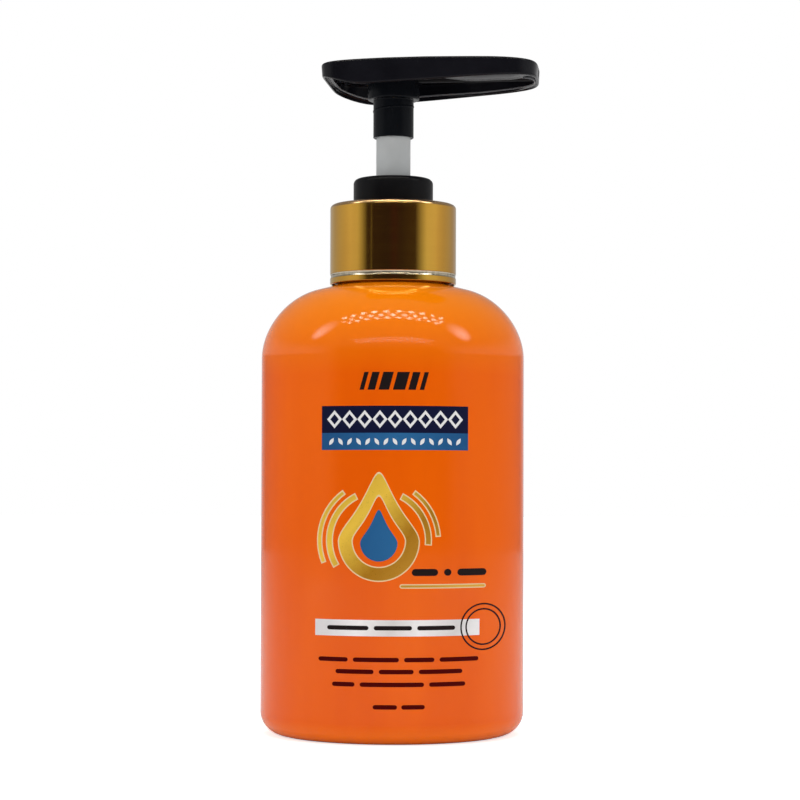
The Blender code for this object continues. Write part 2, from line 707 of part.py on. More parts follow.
def head_reach():
    """Return how far the turned head reaches out from the bottle's axis along +X."""
    return max(
        x * math.cos(HEAD_YAW) - y * math.sin(HEAD_YAW)
        for x, y in head_outline(*head_half_sizes())
    )


def head_shell(finish, parts, axis):
    """The head's inverted tray: top plate, rounded edge, side wall and open underside."""
    half_length, half_width, middle = head_half_sizes()
    outer = head_outline(half_length, half_width, middle)
    inner = head_outline(half_length - HEAD_WALL, half_width - HEAD_WALL, middle)
    ceiling = HEAD_TOP - HEAD_TOP_THICKNESS
    rings = [
        [(x, y, ceiling) for x, y in inner],
        [(x, y, rim_height(x)) for x, y in inner],
        [(x, y, rim_height(x)) for x, y in outer],
    ]
    for inset, height in arc(0, HEAD_TOP - HEAD_TOP_FILLET, HEAD_TOP_FILLET, 0, 90, 4):
        inset = HEAD_TOP_FILLET - inset
        outline = head_outline(half_length - inset, half_width - inset, middle)
        rings.append([(x, y, height) for x, y in outline])
    return lofted("pump_head", rings, finish, parts, axis)


def pump_head(finish, parts, tools, axis):
    """The actuator: tray, boss, threaded sleeve over the stem, duct and nozzle."""
    made = head_shell(finish, parts, axis)
    buried_top = HEAD_TOP - HEAD_TOP_THICKNESS + BURIED_DEPTH
    boss = [
        (0, buried_top),
        (BOSS_RADIUS, buried_top),
        (BOSS_RADIUS, BOSS_BOTTOM),
        (SLEEVE_RADIUS, BOSS_BOTTOM),
        (SLEEVE_RADIUS, SLEEVE_BOTTOM),
        (0, SLEEVE_BOTTOM),
    ]
    boolean(made, turned("boss", boss, ROUND_SIDES, None, tools, axis, closed=False), "UNION")
    thread = ridge(
        "sleeve_thread",
        SLEEVE_RADIUS - SLEEVE_WALL / 2,
        SLEEVE_CREST_RADIUS,
        SLEEVE_THREAD_BOTTOM + LOCK_THREAD_BASE_WIDTH / 2,
        LOCK_THREAD_PITCH,
        LOCK_THREAD_TURNS,
        (LOCK_THREAD_BASE_WIDTH, LOCK_THREAD_CREST_WIDTH),
        tools,
        axis,
    )
    boolean(made, thread, "UNION")
    tip = HEAD_LENGTH - HEAD_REAR_REACH
    rib_end = tip - HEAD_WALL + FIT_GAP
    rib = cylinder("duct_rib", DUCT_RADIUS + DUCT_WALL, 0, rib_end, SMALL_SIDES, tools, axis)
    duct = cylinder("duct", DUCT_RADIUS, 0, tip + CUT_OVERRUN, SMALL_SIDES, tools, axis)
    for tube in (rib, duct):
        tube.location.z = DUCT_HEIGHT
        tube.rotation_euler.y = math.radians(90)
    boolean(made, rib, "UNION")
    boolean(made, duct, "DIFFERENCE")
    bores = (
        ("stem_seat", SLEEVE_INNER_RADIUS, SLEEVE_BOTTOM - CUT_OVERRUN, STEM_TOP + FIT_GAP),
        ("riser", STEM_BORE_RADIUS, STEM_TOP, DUCT_HEIGHT),
    )
    for name, radius, bottom, top in bores:
        boolean(made, cylinder(name, radius, bottom, top, ROUND_SIDES, tools, axis), "DIFFERENCE")
    for piece in (made, *(change.object for change in made.modifiers)):
        turn_about_axis(piece)
    return made


def turn_about_axis(piece):
    """Turn a piece of the head to the side that the nozzle points to."""
    piece.rotation_euler.z += HEAD_YAW


def main():
    """Clear the scene and build every piece on the bottle's axis."""
    for old in list(bpy.data.objects):
        bpy.data.objects.remove(old)
    parts = bpy.data.collections.new("sunscreen_bottle")
    tools = bpy.data.collections.new("cutters")
    for collection in (parts, tools):
        bpy.context.scene.collection.children.link(collection)
    axis = bpy.data.objects.new("bottle_axis", None)
    axis.location.x = (BODY_RADIUS - head_reach()) / 2
    parts.objects.link(axis)

    orange = material("orange_gloss", (0.76, 0.12, 0.01), 0.25)
    gold = material("gold_shell", (0.78, 0.53, 0.16), 0.22, 1.0)
    black = material("black_gloss", (0.012, 0.012, 0.013), 0.28)
    natural = material("natural_plastic", (0.66, 0.67, 0.68), 0.4)
    rubber = material("grey_gasket", (0.35, 0.35, 0.34), 0.6)
    steel = material("spring_steel", (0.55, 0.55, 0.56), 0.25, 1.0)

    pieces = [
        bottle(orange, parts, tools, axis),
        gasket(rubber, parts, axis),
        closure(natural, parts, tools, axis),
        collar_shell(gold, parts, axis),
        lock_ring(black, parts, tools, axis),
        pump_housing(natural, parts, tools, axis),
        stem(natural, parts, axis),
        piston_seal(natural, parts, axis),
        valve_rod(natural, parts, tools, axis),
        check_ball(steel, parts, axis),
        dip_tube(natural, parts, tools, axis),
        pump_head(black, parts, tools, axis),
    ]
    for piece in pieces:
        smooth(piece)
    return_spring(steel, parts, axis)


main()
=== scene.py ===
"""Looks of a pump bottle for sunscreen lotion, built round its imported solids.

Lengths are metres, +Z is up and the nozzle points along +X. Every new piece is modelled
round the Z axis and then set on the bottle's own axis, so that its place is in its mesh.
"""

import logging
import math
from collections.abc import Callable, Iterable, Sequence
from dataclasses import dataclass
from enum import Enum

import bmesh
import bpy
from bmesh.types import BMEdge, BMesh, BMFace, BMVert
from bpy.types import Material, Node, NodeSocket, NodeTree, Object, World
from mathutils import Matrix, Vector

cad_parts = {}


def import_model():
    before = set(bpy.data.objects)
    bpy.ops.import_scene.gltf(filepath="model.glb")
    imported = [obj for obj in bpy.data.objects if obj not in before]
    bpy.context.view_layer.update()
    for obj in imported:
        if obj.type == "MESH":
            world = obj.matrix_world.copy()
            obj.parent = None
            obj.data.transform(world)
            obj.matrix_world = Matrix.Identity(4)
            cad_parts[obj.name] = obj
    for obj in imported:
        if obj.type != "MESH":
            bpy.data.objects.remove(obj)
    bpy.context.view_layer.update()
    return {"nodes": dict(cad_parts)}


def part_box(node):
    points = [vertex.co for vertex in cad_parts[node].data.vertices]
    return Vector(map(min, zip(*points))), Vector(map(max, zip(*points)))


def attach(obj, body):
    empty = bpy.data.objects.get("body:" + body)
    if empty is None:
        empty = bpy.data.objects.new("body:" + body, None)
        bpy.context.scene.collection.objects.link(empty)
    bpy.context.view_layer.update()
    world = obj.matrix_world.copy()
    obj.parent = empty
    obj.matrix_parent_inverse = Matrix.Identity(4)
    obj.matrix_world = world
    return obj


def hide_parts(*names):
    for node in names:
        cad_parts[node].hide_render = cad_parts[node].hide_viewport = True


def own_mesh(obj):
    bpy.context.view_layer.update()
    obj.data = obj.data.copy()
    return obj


LOG = logging.getLogger("pump_bottle")
MM = 0.001
FULL_TURN = 2 * math.pi
QUARTER_TURN = math.pi / 2
MERGE_DISTANCE = 1e-6
SHARP_ANGLE = math.radians(34.0)
FINE = 0.15 * MM
SMALL = 0.2 * MM
SOFT = 0.3 * MM
ROUNDING_STEPS = ((10 * MM, 40), (MM, 10), (0.0, 5))
NARROW_BAND = (0.35, 0.65)
WIDE_BAND = (0.3, 0.7)
WHITE = (1.0, 1.0, 1.0)
UNLIT = (0.0, 0.0, 0.0)

Colour = tuple[float, float, float]
Stops = Sequence[tuple[float, Colour | float]]
Point = tuple[float, float]
Place = tuple[float, float, float]
Box = tuple[float, float, float, float]
Outline = Sequence[Point]
Profile = Sequence[tuple[float, ...]]
Ring = Callable[[float], Place]
Draw = Callable[[BMesh], None]
Rows = tuple[tuple[float, float, tuple[Point, ...]], ...]
DotLamp = tuple[str, tuple[tuple[float, int, float], ...], Point, float]
StripLamp = tuple[str, Point, Point, float, float]
SoftLamp = tuple[str, float, float, float, Point, float]


class Body(Enum):
    """The bodies of the frame that pieces ride on."""

    BOTTLE = "bottle"
    PUMP = "pump_body"
    COLLAR = "collar"
    SPRING = "spring"
    PLUNGER = "plunger"


class Slot(Enum):
    """The record's material slots that new pieces' finishes stand for."""

    ORANGE = "orange_body"
    GOLD = "gold_shell"
    BLACK = "black_plastic"
    NATURAL = "natural_plastic"
    STEEL = "spring_steel"


class Layer(Enum):
    """How far a print's face stands out from the bottle's wall, by printing order."""

    EDGE = 0.018 * MM
    BASE = 0.026 * MM
    MIDDLE = 0.034 * MM
    TOP = 0.044 * MM


# ---------------------------------------------------------------- materials


class Nodes:
    """A node tree, with short calls for the nodes used here."""

    def __init__(self, tree: NodeTree) -> None:
        """Take up a node tree."""
        self.tree = tree

    def node(
        self, kind: str, feeds: dict[str | int, object] | None = None, **settings: object
    ) -> Node:
        """Add a node.

        Args:
            kind: its type's name after ShaderNode.
            feeds: what goes into its inputs, by their names or numbers.
            **settings: its own properties.

        Returns:
            The new node.
        """
        made = self.tree.nodes.new("ShaderNode" + kind)
        for key, value in settings.items():
            setattr(made, key, value)
        for key, value in (feeds or {}).items():
            self.feed(made.inputs[key], value)
        return made

    def feed(self, socket: NodeSocket, value: object) -> None:
        """Link a socket to another, or set it to a constant.

        Args:
            socket: the socket that is fed.
            value: an output socket, a number, a colour or a vector.
        """
        if isinstance(value, NodeSocket):
            self.tree.links.new(value, socket)
        elif isinstance(value, tuple) and socket.type == "RGBA":
            socket.default_value = (*value, 1.0)
        else:
            socket.default_value = value

    def spread(
        self, value: NodeSocket, start: Point, end: Point = (0.0, 1.0)
    ) -> NodeSocket:
        """Map one range of a value on another, clamped at its ends.

        Args:
            value: the value that is mapped.
            start: the low and the high end of its range.
            end: what these two become.

        Returns:
            The mapped value.
        """
        names = ("From Min", "From Max", "To Min", "To Max")
        feeds = {"Value": value, **dict(zip(names, (*start, *end)))}
        return self.node("MapRange", feeds, clamp=True).outputs["Result"]

    def math(self, operation: str, first: object, second: object) -> NodeSocket:
        """Return the result of a sum on two values."""
        return self.node("Math", {0: first, 1: second}, operation=operation).outputs["Value"]


def bare_nodes(owner: Material | World) -> Nodes:
    """Empty the node tree of a material or a world.

    Args:
        owner: the material or the world.

    Returns:
        Its node tree, ready for new nodes.
    """
    owner.use_nodes = True
    owner.node_tree.nodes.clear()
    return Nodes(owner.node_tree)


class Graph(Nodes):
    """The node tree of one material, round its Principled shader."""

    def __init__(self, name: str) -> None:
        """Start a material.

        Args:
            name: the material's name.
        """
        self.material = bpy.data.materials.new(name)
        self.material.use_nodes = True
        super().__init__(self.material.node_tree)
        self.shader = self.tree.nodes["Principled BSDF"]
        self.place = self.node("TexCoord").outputs["Object"]

    def axes(self) -> dict[str, NodeSocket]:
        """Return the object's coordinates, X, Y and Z, the height above the floor."""
        return self.node("SeparateXYZ", {"Vector": self.place}).outputs

    def noise(self, waves: float | Place, detail: float = 2.0) -> NodeSocket:
        """Add a noise texture.

        Args:
            waves: its waves to a metre, or those along each axis.
            detail: its octaves.

        Returns:
            Its grey value.
        """
        place, scale = self.place, waves
        if isinstance(waves, tuple):
            feeds = {"Vector": self.place, "Scale": waves}
            place, scale = self.node("Mapping", feeds).outputs["Vector"], 1.0
        feeds = {"Vector": place, "Scale": scale, "Detail": detail}
        return self.node("TexNoise", feeds).outputs["Fac"]

    def blend(self, share: NodeSocket, first: object, second: object) -> NodeSocket:
        """Mix two colours: the first where the share is 0, the second where it is 1."""
        feeds = {0: share, 6: first, 7: second}
        return self.node("Mix", feeds, data_type="RGBA").outputs[2]

    def ramp(self, share: NodeSocket, stops: Stops) -> NodeSocket:
        """Turn a value into a colour by its stops.

        Args:
            share: the value.
            stops: places from 0 to 1, each with its colour, or a number for a grey.

        Returns:
            The colour.
        """
        made = self.node("ValToRGB", {"Fac": share})
        marks = made.color_ramp.elements
        while len(marks) < len(stops):
            marks.new(1.0)
        for mark, (place, tone) in zip(marks, stops):
            mark.position = place
            mark.color = (*(tone if isinstance(tone, tuple) else (tone,) * 3), 1.0)
        return made.outputs["Color"]

    def bump(
        self, height: NodeSocket, depth: float, under: NodeSocket | None = None
    ) -> NodeSocket:
        """Turn a height into a normal.

        Args:
            height: the grey value.
            depth: the height of 1, in metres.
            under: a normal that this one is laid over.

        Returns:
            The normal.
        """
        feeds = {"Height": height, "Distance": depth}
        if under:
            feeds["Normal"] = under
        return self.node("Bump", feeds).outputs["Normal"]

    def finish(self, **sockets: object) -> Material:
        """Feed the shader's sockets.

        Args:
            sockets: what feeds each of them, its name written with underscores.

        Returns:
            The finished material.
        """
        for name, value in sockets.items():
            self.feed(self.shader.inputs[name.replace("_", " ")], value)
        return self.material

    def glow(self, colour: object, strength: object) -> Material:
        """Make the material one that shines and reflects nothing.

        Args:
            colour: its light's colour, or the socket that gives it.
            strength: how brightly it shines, or the socket that gives it.

        Returns:
            The finished material.
        """
        return self.finish(
            Base_Color=UNLIT,
            Specular_IOR_Level=0.0,
            Emission_Color=colour,
            Emission_Strength=strength,
        )


@dataclass(frozen=True)
class GlossBody:
    """Glossy blown plastic: flow streaks, a faint orange-peel skin and a scuffed foot, with painted
    light: a brighter, yellower shoulder for the light from above and a brighter, yellower foot for
    light from the floor.
    """

    name: str = "gloss_orange_plastic"
    light: Colour = (0.93, 0.136, 0.001)
    deep: Colour = (0.87, 0.114, 0.001)
    scuffed: Colour = (0.92, 0.18, 0.02)
    # shoulder: painted top light, a brighter and yellower orange where the light from above falls
    shoulder: Colour = (0.98, 0.25, 0.002)
    # foot: painted bounce light, a brighter and yellower orange near the floor
    foot: Colour = (0.99, 0.21, 0.004)
    gloss: float = 0.055
    scuffed_gloss: float = 0.3
    index: float = 1.32
    painted_top_light_heights: Point = (86 * MM, 106 * MM)
    foot_heights: Point = (0.6 * MM, 5 * MM)
    streak_waves: Place = (55.0, 55.0, 9.0)
    scratch_waves: Place = (2600.0, 2600.0, 160.0)
    speck_waves: float = 2400.0
    cloud_waves: float = 38.0
    skin_waves: float = 240.0
    grain_waves: float = 1500.0
    skin_depth: float = 0.003 * MM
    grain_depth: float = 0.0006 * MM

    def material(self) -> Material:
        """Make the finish's material.

        Returns:
            The material.
        """
        graph = Graph(self.name)
        streaks = graph.spread(graph.noise(self.streak_waves, 3.0), NARROW_BAND)
        height = graph.axes()["Z"]
        # Painted top light: the colour turns brighter and yellower up the shoulder, for the light
        # that falls on it from above.
        painted_top_light = graph.spread(height, self.painted_top_light_heights)
        # Painted bounce light at the foot, for light from the floor; the same mask also places the
        # real scuffs.
        foot = graph.spread(height, self.foot_heights, (1.0, 0.0))
        colour = graph.blend(streaks, self.deep, self.light)
        colour = graph.blend(foot, graph.blend(painted_top_light, colour, self.shoulder), self.foot)
        specks = graph.spread(graph.noise(self.speck_waves, 4.0), (0.56, 0.66), (0.0, 0.7))
        wear = graph.math("MULTIPLY", foot, specks)
        scratches = graph.spread(graph.noise(self.scratch_waves), (0.66, 0.74), (0.0, 0.10))
        cloud = graph.spread(graph.noise(self.cloud_waves), WIDE_BAND, (-0.01, 0.02))
        roughness = graph.math("ADD", graph.math("ADD", scratches, cloud), self.gloss)
        scuffs = graph.math("MULTIPLY", wear, self.scuffed_gloss)
        skin = graph.bump(graph.noise(self.skin_waves, 1.0), self.skin_depth)
        return graph.finish(
            Base_Color=graph.blend(wear, colour, self.scuffed),
            Roughness=graph.math("ADD", roughness, scuffs),
            Normal=graph.bump(graph.noise(self.grain_waves), self.grain_depth, skin),
            IOR=self.index,
        )


@dataclass(frozen=True)
class DrawnShell:
    """Drawn aluminium, anodised to gold, with the fine rings that polishing leaves, and a paler top
    rim that is partly wear and partly a painted highlight.
    """

    name: str = "anodised_gold"
    bright: Colour = (0.63, 0.38, 0.058)
    warm: Colour = (0.54, 0.28, 0.042)
    # Paler, creamier gold on the top rounding: partly wear, partly a painted highlight
    wear_and_highlight: Colour = (0.62, 0.40, 0.21)
    gloss: float = 0.10
    rim_gloss: float = 0.24
    wear_and_highlight_heights: Point = (127.4 * MM, 127.9 * MM)
    top_heights: Point = (128.40 * MM, 128.48 * MM)
    tint_waves: Place = (90.0, 90.0, 12.0)
    ring_waves: Place = (25.0, 25.0, 5200.0)
    ring_depth: float = 0.0002 * MM

    def material(self) -> Material:
        """Make the finish's material.

        Returns:
            The material.
        """
        graph = Graph(self.name)
        tint = graph.spread(graph.noise(self.tint_waves), NARROW_BAND)
        rings = graph.noise(self.ring_waves, 3.0)
        height = graph.axes()["Z"]
        rise = graph.spread(height, self.wear_and_highlight_heights)
        # The top rounding's colour is partly wear and partly a painted highlight; its rougher
        # finish there is real.
        rim = graph.math("MULTIPLY", rise, graph.spread(height, self.top_heights, (1.0, 0.2)))
        gloss = graph.spread(rim, (0.0, 1.0), (self.gloss, self.rim_gloss))
        return graph.finish(
            Base_Color=graph.blend(rim, graph.blend(tint, self.warm, self.bright), self.wear_and_highlight),
            Metallic=1.0,
            Roughness=graph.math("ADD", graph.spread(rings, WIDE_BAND, (-0.02, 0.04)), gloss),
            Normal=graph.bump(rings, self.ring_depth),
        )


@dataclass(frozen=True)
class LinedMetal:
    """Bare metal with the fine lines that its cutter or its die leaves."""

    name: str
    light: Colour
    deep: Colour
    waves: Place
    detail: float
    band: Point
    gloss: Point
    depth: float

    def material(self) -> Material:
        """Make the finish's material.

        Returns:
            The material.
        """
        graph = Graph(self.name)
        lines = graph.noise(self.waves, self.detail)
        return graph.finish(
            Base_Color=graph.blend(graph.spread(lines, self.band), self.deep, self.light),
            Metallic=1.0,
            Roughness=graph.spread(lines, self.band, self.gloss),
            Normal=graph.bump(lines, self.depth),
        )


def cut_aluminium() -> LinedMetal:
    """Choose the look of the collar's groove, which a cutter has turned bright.

    Returns:
        The bare aluminium's finish.
    """
    light, deep = (0.68, 0.60, 0.46), (0.48, 0.42, 0.31)
    waves, gloss = (1500.0, 1500.0, 200.0), (0.16, 0.22)
    return LinedMetal(
        "cut_aluminium", light, deep, waves, 2.0, NARROW_BAND, gloss, 0.004 * MM
    )


def drawn_steel(name: str) -> LinedMetal:
    """Choose the look of the spring's wire and of the ball.

    Args:
        name: the material's name.

    Returns:
        The drawn steel's finish.
    """
    light, deep = (0.60, 0.60, 0.61), (0.42, 0.42, 0.43)
    waves, gloss = (500.0, 500.0, 7000.0), (0.22, 0.36)
    return LinedMetal(name, light, deep, waves, 3.0, WIDE_BAND, gloss, 0.002 * MM)


@dataclass(frozen=True)
class MouldedPlastic:
    """Injection-moulded plastic with a faint grain and hairline marks."""

    name: str
    light: Colour
    deep: Colour
    gloss: float
    specular: float = 0.5
    grain: float = 2600.0
    grain_depth: float = 0.003 * MM
    translucency: float = 0.0
    scatter: float = 3 * MM
    cloud_waves: float = 130.0
    cloud_gloss: float = 0.05
    mark_waves: Place = (1900.0, 420.0, 420.0)

    def material(self) -> Material:
        """Make the finish's material.

        Returns:
            The material.
        """
        graph = Graph(self.name)
        cloud = graph.spread(graph.noise(self.cloud_waves, 3.0), WIDE_BAND)
        marks = graph.spread(graph.noise(self.mark_waves), (0.64, 0.74), (0.0, 0.12))
        roughness = graph.math("ADD", graph.math("MULTIPLY", cloud, self.cloud_gloss), marks)
        return graph.finish(
            Base_Color=graph.blend(cloud, self.deep, self.light),
            Roughness=graph.math("ADD", roughness, self.gloss),
            Normal=graph.bump(graph.noise(self.grain), self.grain_depth),
            Specular_IOR_Level=self.specular,
            Subsurface_Weight=self.translucency,
            Subsurface_Radius=(self.scatter,) * 3,
            Subsurface_Scale=1.0,
        )


@dataclass(frozen=True)
class Ink:
    """A screen-printed ink or foil whose tone may run across the print."""

    name: str
    stops: Stops
    gloss: float = 0.35
    metal: float = 0.0
    specular: float = 0.05
    across: Place = (1.0, 0.0, 0.0)
    span: Point = (-20 * MM, 20 * MM)
    gloss_range: Point = (-0.05, 0.07)
    mottle_waves: float = 900.0
    grain_waves: float = 3800.0
    grain_depth: float = 0.0015 * MM

    def material(self) -> Material:
        """Make the finish's material.

        Returns:
            The material.
        """
        graph = Graph(self.name)
        feeds = {0: graph.place, 1: self.across}
        run = graph.node("VectorMath", feeds, operation="DOT_PRODUCT").outputs["Value"]
        mottle = graph.spread(graph.noise(self.mottle_waves, 3.0), (0.2, 0.8), (-0.015, 0.015))
        share = graph.math("ADD", graph.spread(run, self.span), mottle)
        grain = graph.noise(self.grain_waves)
        rough = tuple(self.gloss + change for change in self.gloss_range)
        return graph.finish(
            Base_Color=graph.ramp(share, self.stops),
            Metallic=self.metal,
            Roughness=graph.spread(grain, (0.2, 0.8), rough),
            Normal=graph.bump(grain, self.grain_depth),
            Specular_IOR_Level=self.specular,
        )


# ---------------------------------------------------------------- shapes


@dataclass(frozen=True)
class Corner:
    """A corner of a turned profile: its radius, its height and how far it is rounded."""

    radius: float
    height: float
    rounding: float = 0.0

    def reach(self, before: "Corner", after: "Corner") -> float:
        """Find where along its edges its rounding starts.

        Args:
            before: the corner before it.
            after: the corner after it.

        Returns:
            How far that is from the corner.
        """
        arriving = Vector((self.radius - before.radius, self.height - before.height))
        leaving = Vector((after.radius - self.radius, after.height - self.height))
        return self.rounding * math.tan(arriving.angle(leaving) / 2)

    def segments(self) -> int:
        """Return the steps of its rounding."""
        return next(steps for least, steps in ROUNDING_STEPS if self.rounding > least)


def bevel(build: BMesh, geom: Sequence, offset: float, segments: int, affect: str) -> None:
    """Round points or edges of a mesh.

    Args:
        build: the mesh.
        geom: the points or the edges.
        offset: how far from them the rounding starts.
        segments: its steps.
        affect: VERTICES or EDGES.
    """
    bmesh.ops.bevel(
        build, geom=geom, offset=offset, offset_type="OFFSET", segments=segments,
        profile=0.5, affect=affect, material=-1,
    )


def moved(build: BMesh, x: float = 0, y: float = 0, z: float = 0) -> BMesh:
    """Shift a mesh and return it."""
    bmesh.ops.translate(build, verts=build.verts, vec=(x, y, z))
    return build


def rotated(build: BMesh, turn: Matrix, height: float = 0) -> BMesh:
    """Turn a mesh about a point of the Z axis and return it."""
    bmesh.ops.rotate(build, verts=build.verts, cent=(0, 0, height), matrix=turn)
    return build


def tidied(build: BMesh) -> BMesh:
    """Merge a mesh's doubled points and turn its faces outwards.

    Args:
        build: the mesh.

    Returns:
        The same mesh.
    """
    bmesh.ops.remove_doubles(build, verts=build.verts, dist=MERGE_DISTANCE)
    bmesh.ops.recalc_face_normals(build, faces=build.faces)
    return build


def points_of(geometry: Iterable) -> list[BMVert]:
    """Return the points among a mesh operator's results."""
    return [item for item in geometry if isinstance(item, BMVert)]


def turned(profile: Profile, steps: int = 128, closed: bool = True) -> BMesh:
    """Round a profile's corners and turn it about the Z axis into a closed body.

    Args:
        profile: the corners in order, each as the values of a Corner.
        steps: the sides of the turned body.
        closed: whether the profile's end joins its start, away from the axis.

    Returns:
        The body's mesh.
    """
    build = bmesh.new()
    corners = [Corner(*row) for row in profile]
    points = [build.verts.new((c.radius, 0, c.height)) for c in corners]
    for first, second in zip(points, points[1:]):
        build.edges.new((first, second))
    if closed:
        build.edges.new((points[-1], points[0]))
    for index, corner in enumerate(corners):
        if corner.rounding:
            reach = corner.reach(corners[index - 1], corners[(index + 1) % len(corners)])
            bevel(build, [points[index]], reach, corner.segments(), "VERTICES")
    hold_walls(build)
    bmesh.ops.spin(
        build, geom=[*build.verts, *build.edges], cent=(0, 0, 0), axis=(0, 0, 1),
        angle=FULL_TURN, steps=steps, use_merge=True,
    )
    return tidied(build)


def hold_walls(build: BMesh, least: float = 0.6 * MM, hold: float = 0.03 * MM) -> None:
    """Add points near the ends of a profile's long edges, so that they are shaded straight.

    Args:
        build: the profile's mesh.
        least: the length from which an edge is held.
        hold: how far from its ends the new points lie.
    """
    for edge in [edge for edge in build.edges if edge.calc_length() > least]:
        first, second = (point.co.copy() for point in edge.verts)
        step = (second - first).normalized() * hold
        split = bmesh.ops.bisect_edges(build, edges=[edge], cuts=2)["geom_split"]
        for point in points_of(split):
            is_near = (point.co - first).length < (point.co - second).length
            if min((point.co - end).length for end in (first, second)) > hold:
                point.co = first + step if is_near else second - step


def coiled(
    section: Sequence[BMFace], build: BMesh, stretches: Iterable[Point], steps: int
) -> None:
    """Sweep a section round the Z axis while it climbs.

    Args:
        section: the section's one face.
        build: the mesh that holds it.
        stretches: each stretch's turns and its climb to a turn.
        steps: the steps to a turn.
    """
    geometry: list = [*section, *section[0].verts, *section[0].edges]
    for turns, pitch in stretches:
        count = max(1, round(turns * steps))
        geometry = bmesh.ops.spin(
            build, geom=geometry, cent=(0, 0, 0), axis=(0, 0, 1),
            dvec=(0, 0, pitch * turns / count), angle=turns * FULL_TURN, steps=count,
        )["geom_last"]


@dataclass(frozen=True)
class Thread:
    """A right-handed thread's ridge, whose two ends sink into its root."""

    root: float
    crest: float
    bottom: float
    pitch: float = 2.4 * MM
    turns: float = 1.25
    base_width: float = 0.9 * MM
    crest_width: float = 0.4 * MM
    steps: int = 72
    fade_turns: float = 0.12
    least_share: float = 0.05
    bevel_share: float = 0.6
    root_share: float = 0.3
    spare_turns: float = 0.01

    def mesh(self) -> BMesh:
        """Make the ridge's mesh.

        Returns:
            The mesh.
        """
        build = bmesh.new()
        base, crest = self.base_width / 2, self.crest_width / 2
        section = (
            (self.root, -base), (self.crest, -crest), (self.crest, crest), (self.root, base)
        )
        corners = [build.verts.new((r, 0, self.bottom + z)) for r, z in section]
        coiled([build.faces.new(corners)], build, [(self.turns, self.pitch)], self.steps)
        for point in build.verts:
            self.sink(point)
        edges = [edge for edge in build.edges if self.on_crest(edge)]
        bevel(build, edges, crest * self.bevel_share, 2, "EDGES")
        return tidied(build)

    def on_crest(self, edge: BMEdge) -> bool:
        """Tell whether an edge runs along the ridge's crest.

        Args:
            edge: an edge of the ridge.

        Returns:
            Whether it does.
        """
        low, high = (self.turns_up(point) for point in edge.verts)
        outer = [math.hypot(p.co.x, p.co.y) for p in edge.verts]
        away = abs(self.crest - self.root) * self.root_share
        return all(abs(r - self.root) > away for r in outer) and abs(low - high) > 0.5 / self.steps

    def turns_up(self, point: BMVert) -> float:
        """Return how many turns of the ridge lie below a point."""
        part = math.atan2(point.co.y, point.co.x) / FULL_TURN
        return part + round((point.co.z - self.bottom) / self.pitch - part)

    def sink(self, point: BMVert) -> None:
        """Draw a point near an end of the ridge in towards the root.

        Args:
            point: a point of the ridge, which is moved.
        """
        done = self.turns_up(point)
        ends = ((left + self.spare_turns) / self.fade_turns for left in (done, self.turns - done))
        share = max(min(1.0, *ends), self.least_share)
        reach = math.hypot(point.co.x, point.co.y)
        factor = (self.root + (reach - self.root) * share) / reach
        point.co.x *= factor
        point.co.y *= factor


def added(name: str, build: BMesh, material: Material | None = None) -> Object:
    """Add an object to the scene.

    Args:
        name: its name.
        build: its mesh, which is used up.
        material: its finish.

    Returns:
        The object.
    """
    mesh = bpy.data.meshes.new(name)
    build.to_mesh(mesh)
    build.free()
    if material:
        mesh.materials.append(material)
    made = bpy.data.objects.new(name, mesh)
    bpy.context.scene.collection.objects.link(made)
    return made


@dataclass(frozen=True)
class Maker:
    """Sets finished meshes on the bottle's axis and tells the frame about them."""

    axis_x: float

    def piece(
        self, name: str, build: BMesh, material: Material, body: Body,
        slot: Slot | None = None, replaces: Sequence[str] = (),
    ) -> Object:
        """Make a piece of the object from its mesh.

        Args:
            name: the piece's name.
            build: its mesh round the Z axis, which is used up.
            material: its finish.
            body: the body that it rides on.
            slot: the record's slot that its finish stands for; not used.
            replaces: the solids that it stands for.

        Returns:
            The piece.
        """
        made = added(name, moved(build, self.axis_x), material)
        made.data.shade_smooth()
        made.data.set_sharp_from_angle(angle=SHARP_ANGLE)
        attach(made, body.value)
        if replaces:
            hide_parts(*replaces)
        LOG.info("%s: %d faces, rides on %s", name, len(made.data.polygons), body.value)
        return made


# ---------------------------------------------------------------- the bottle


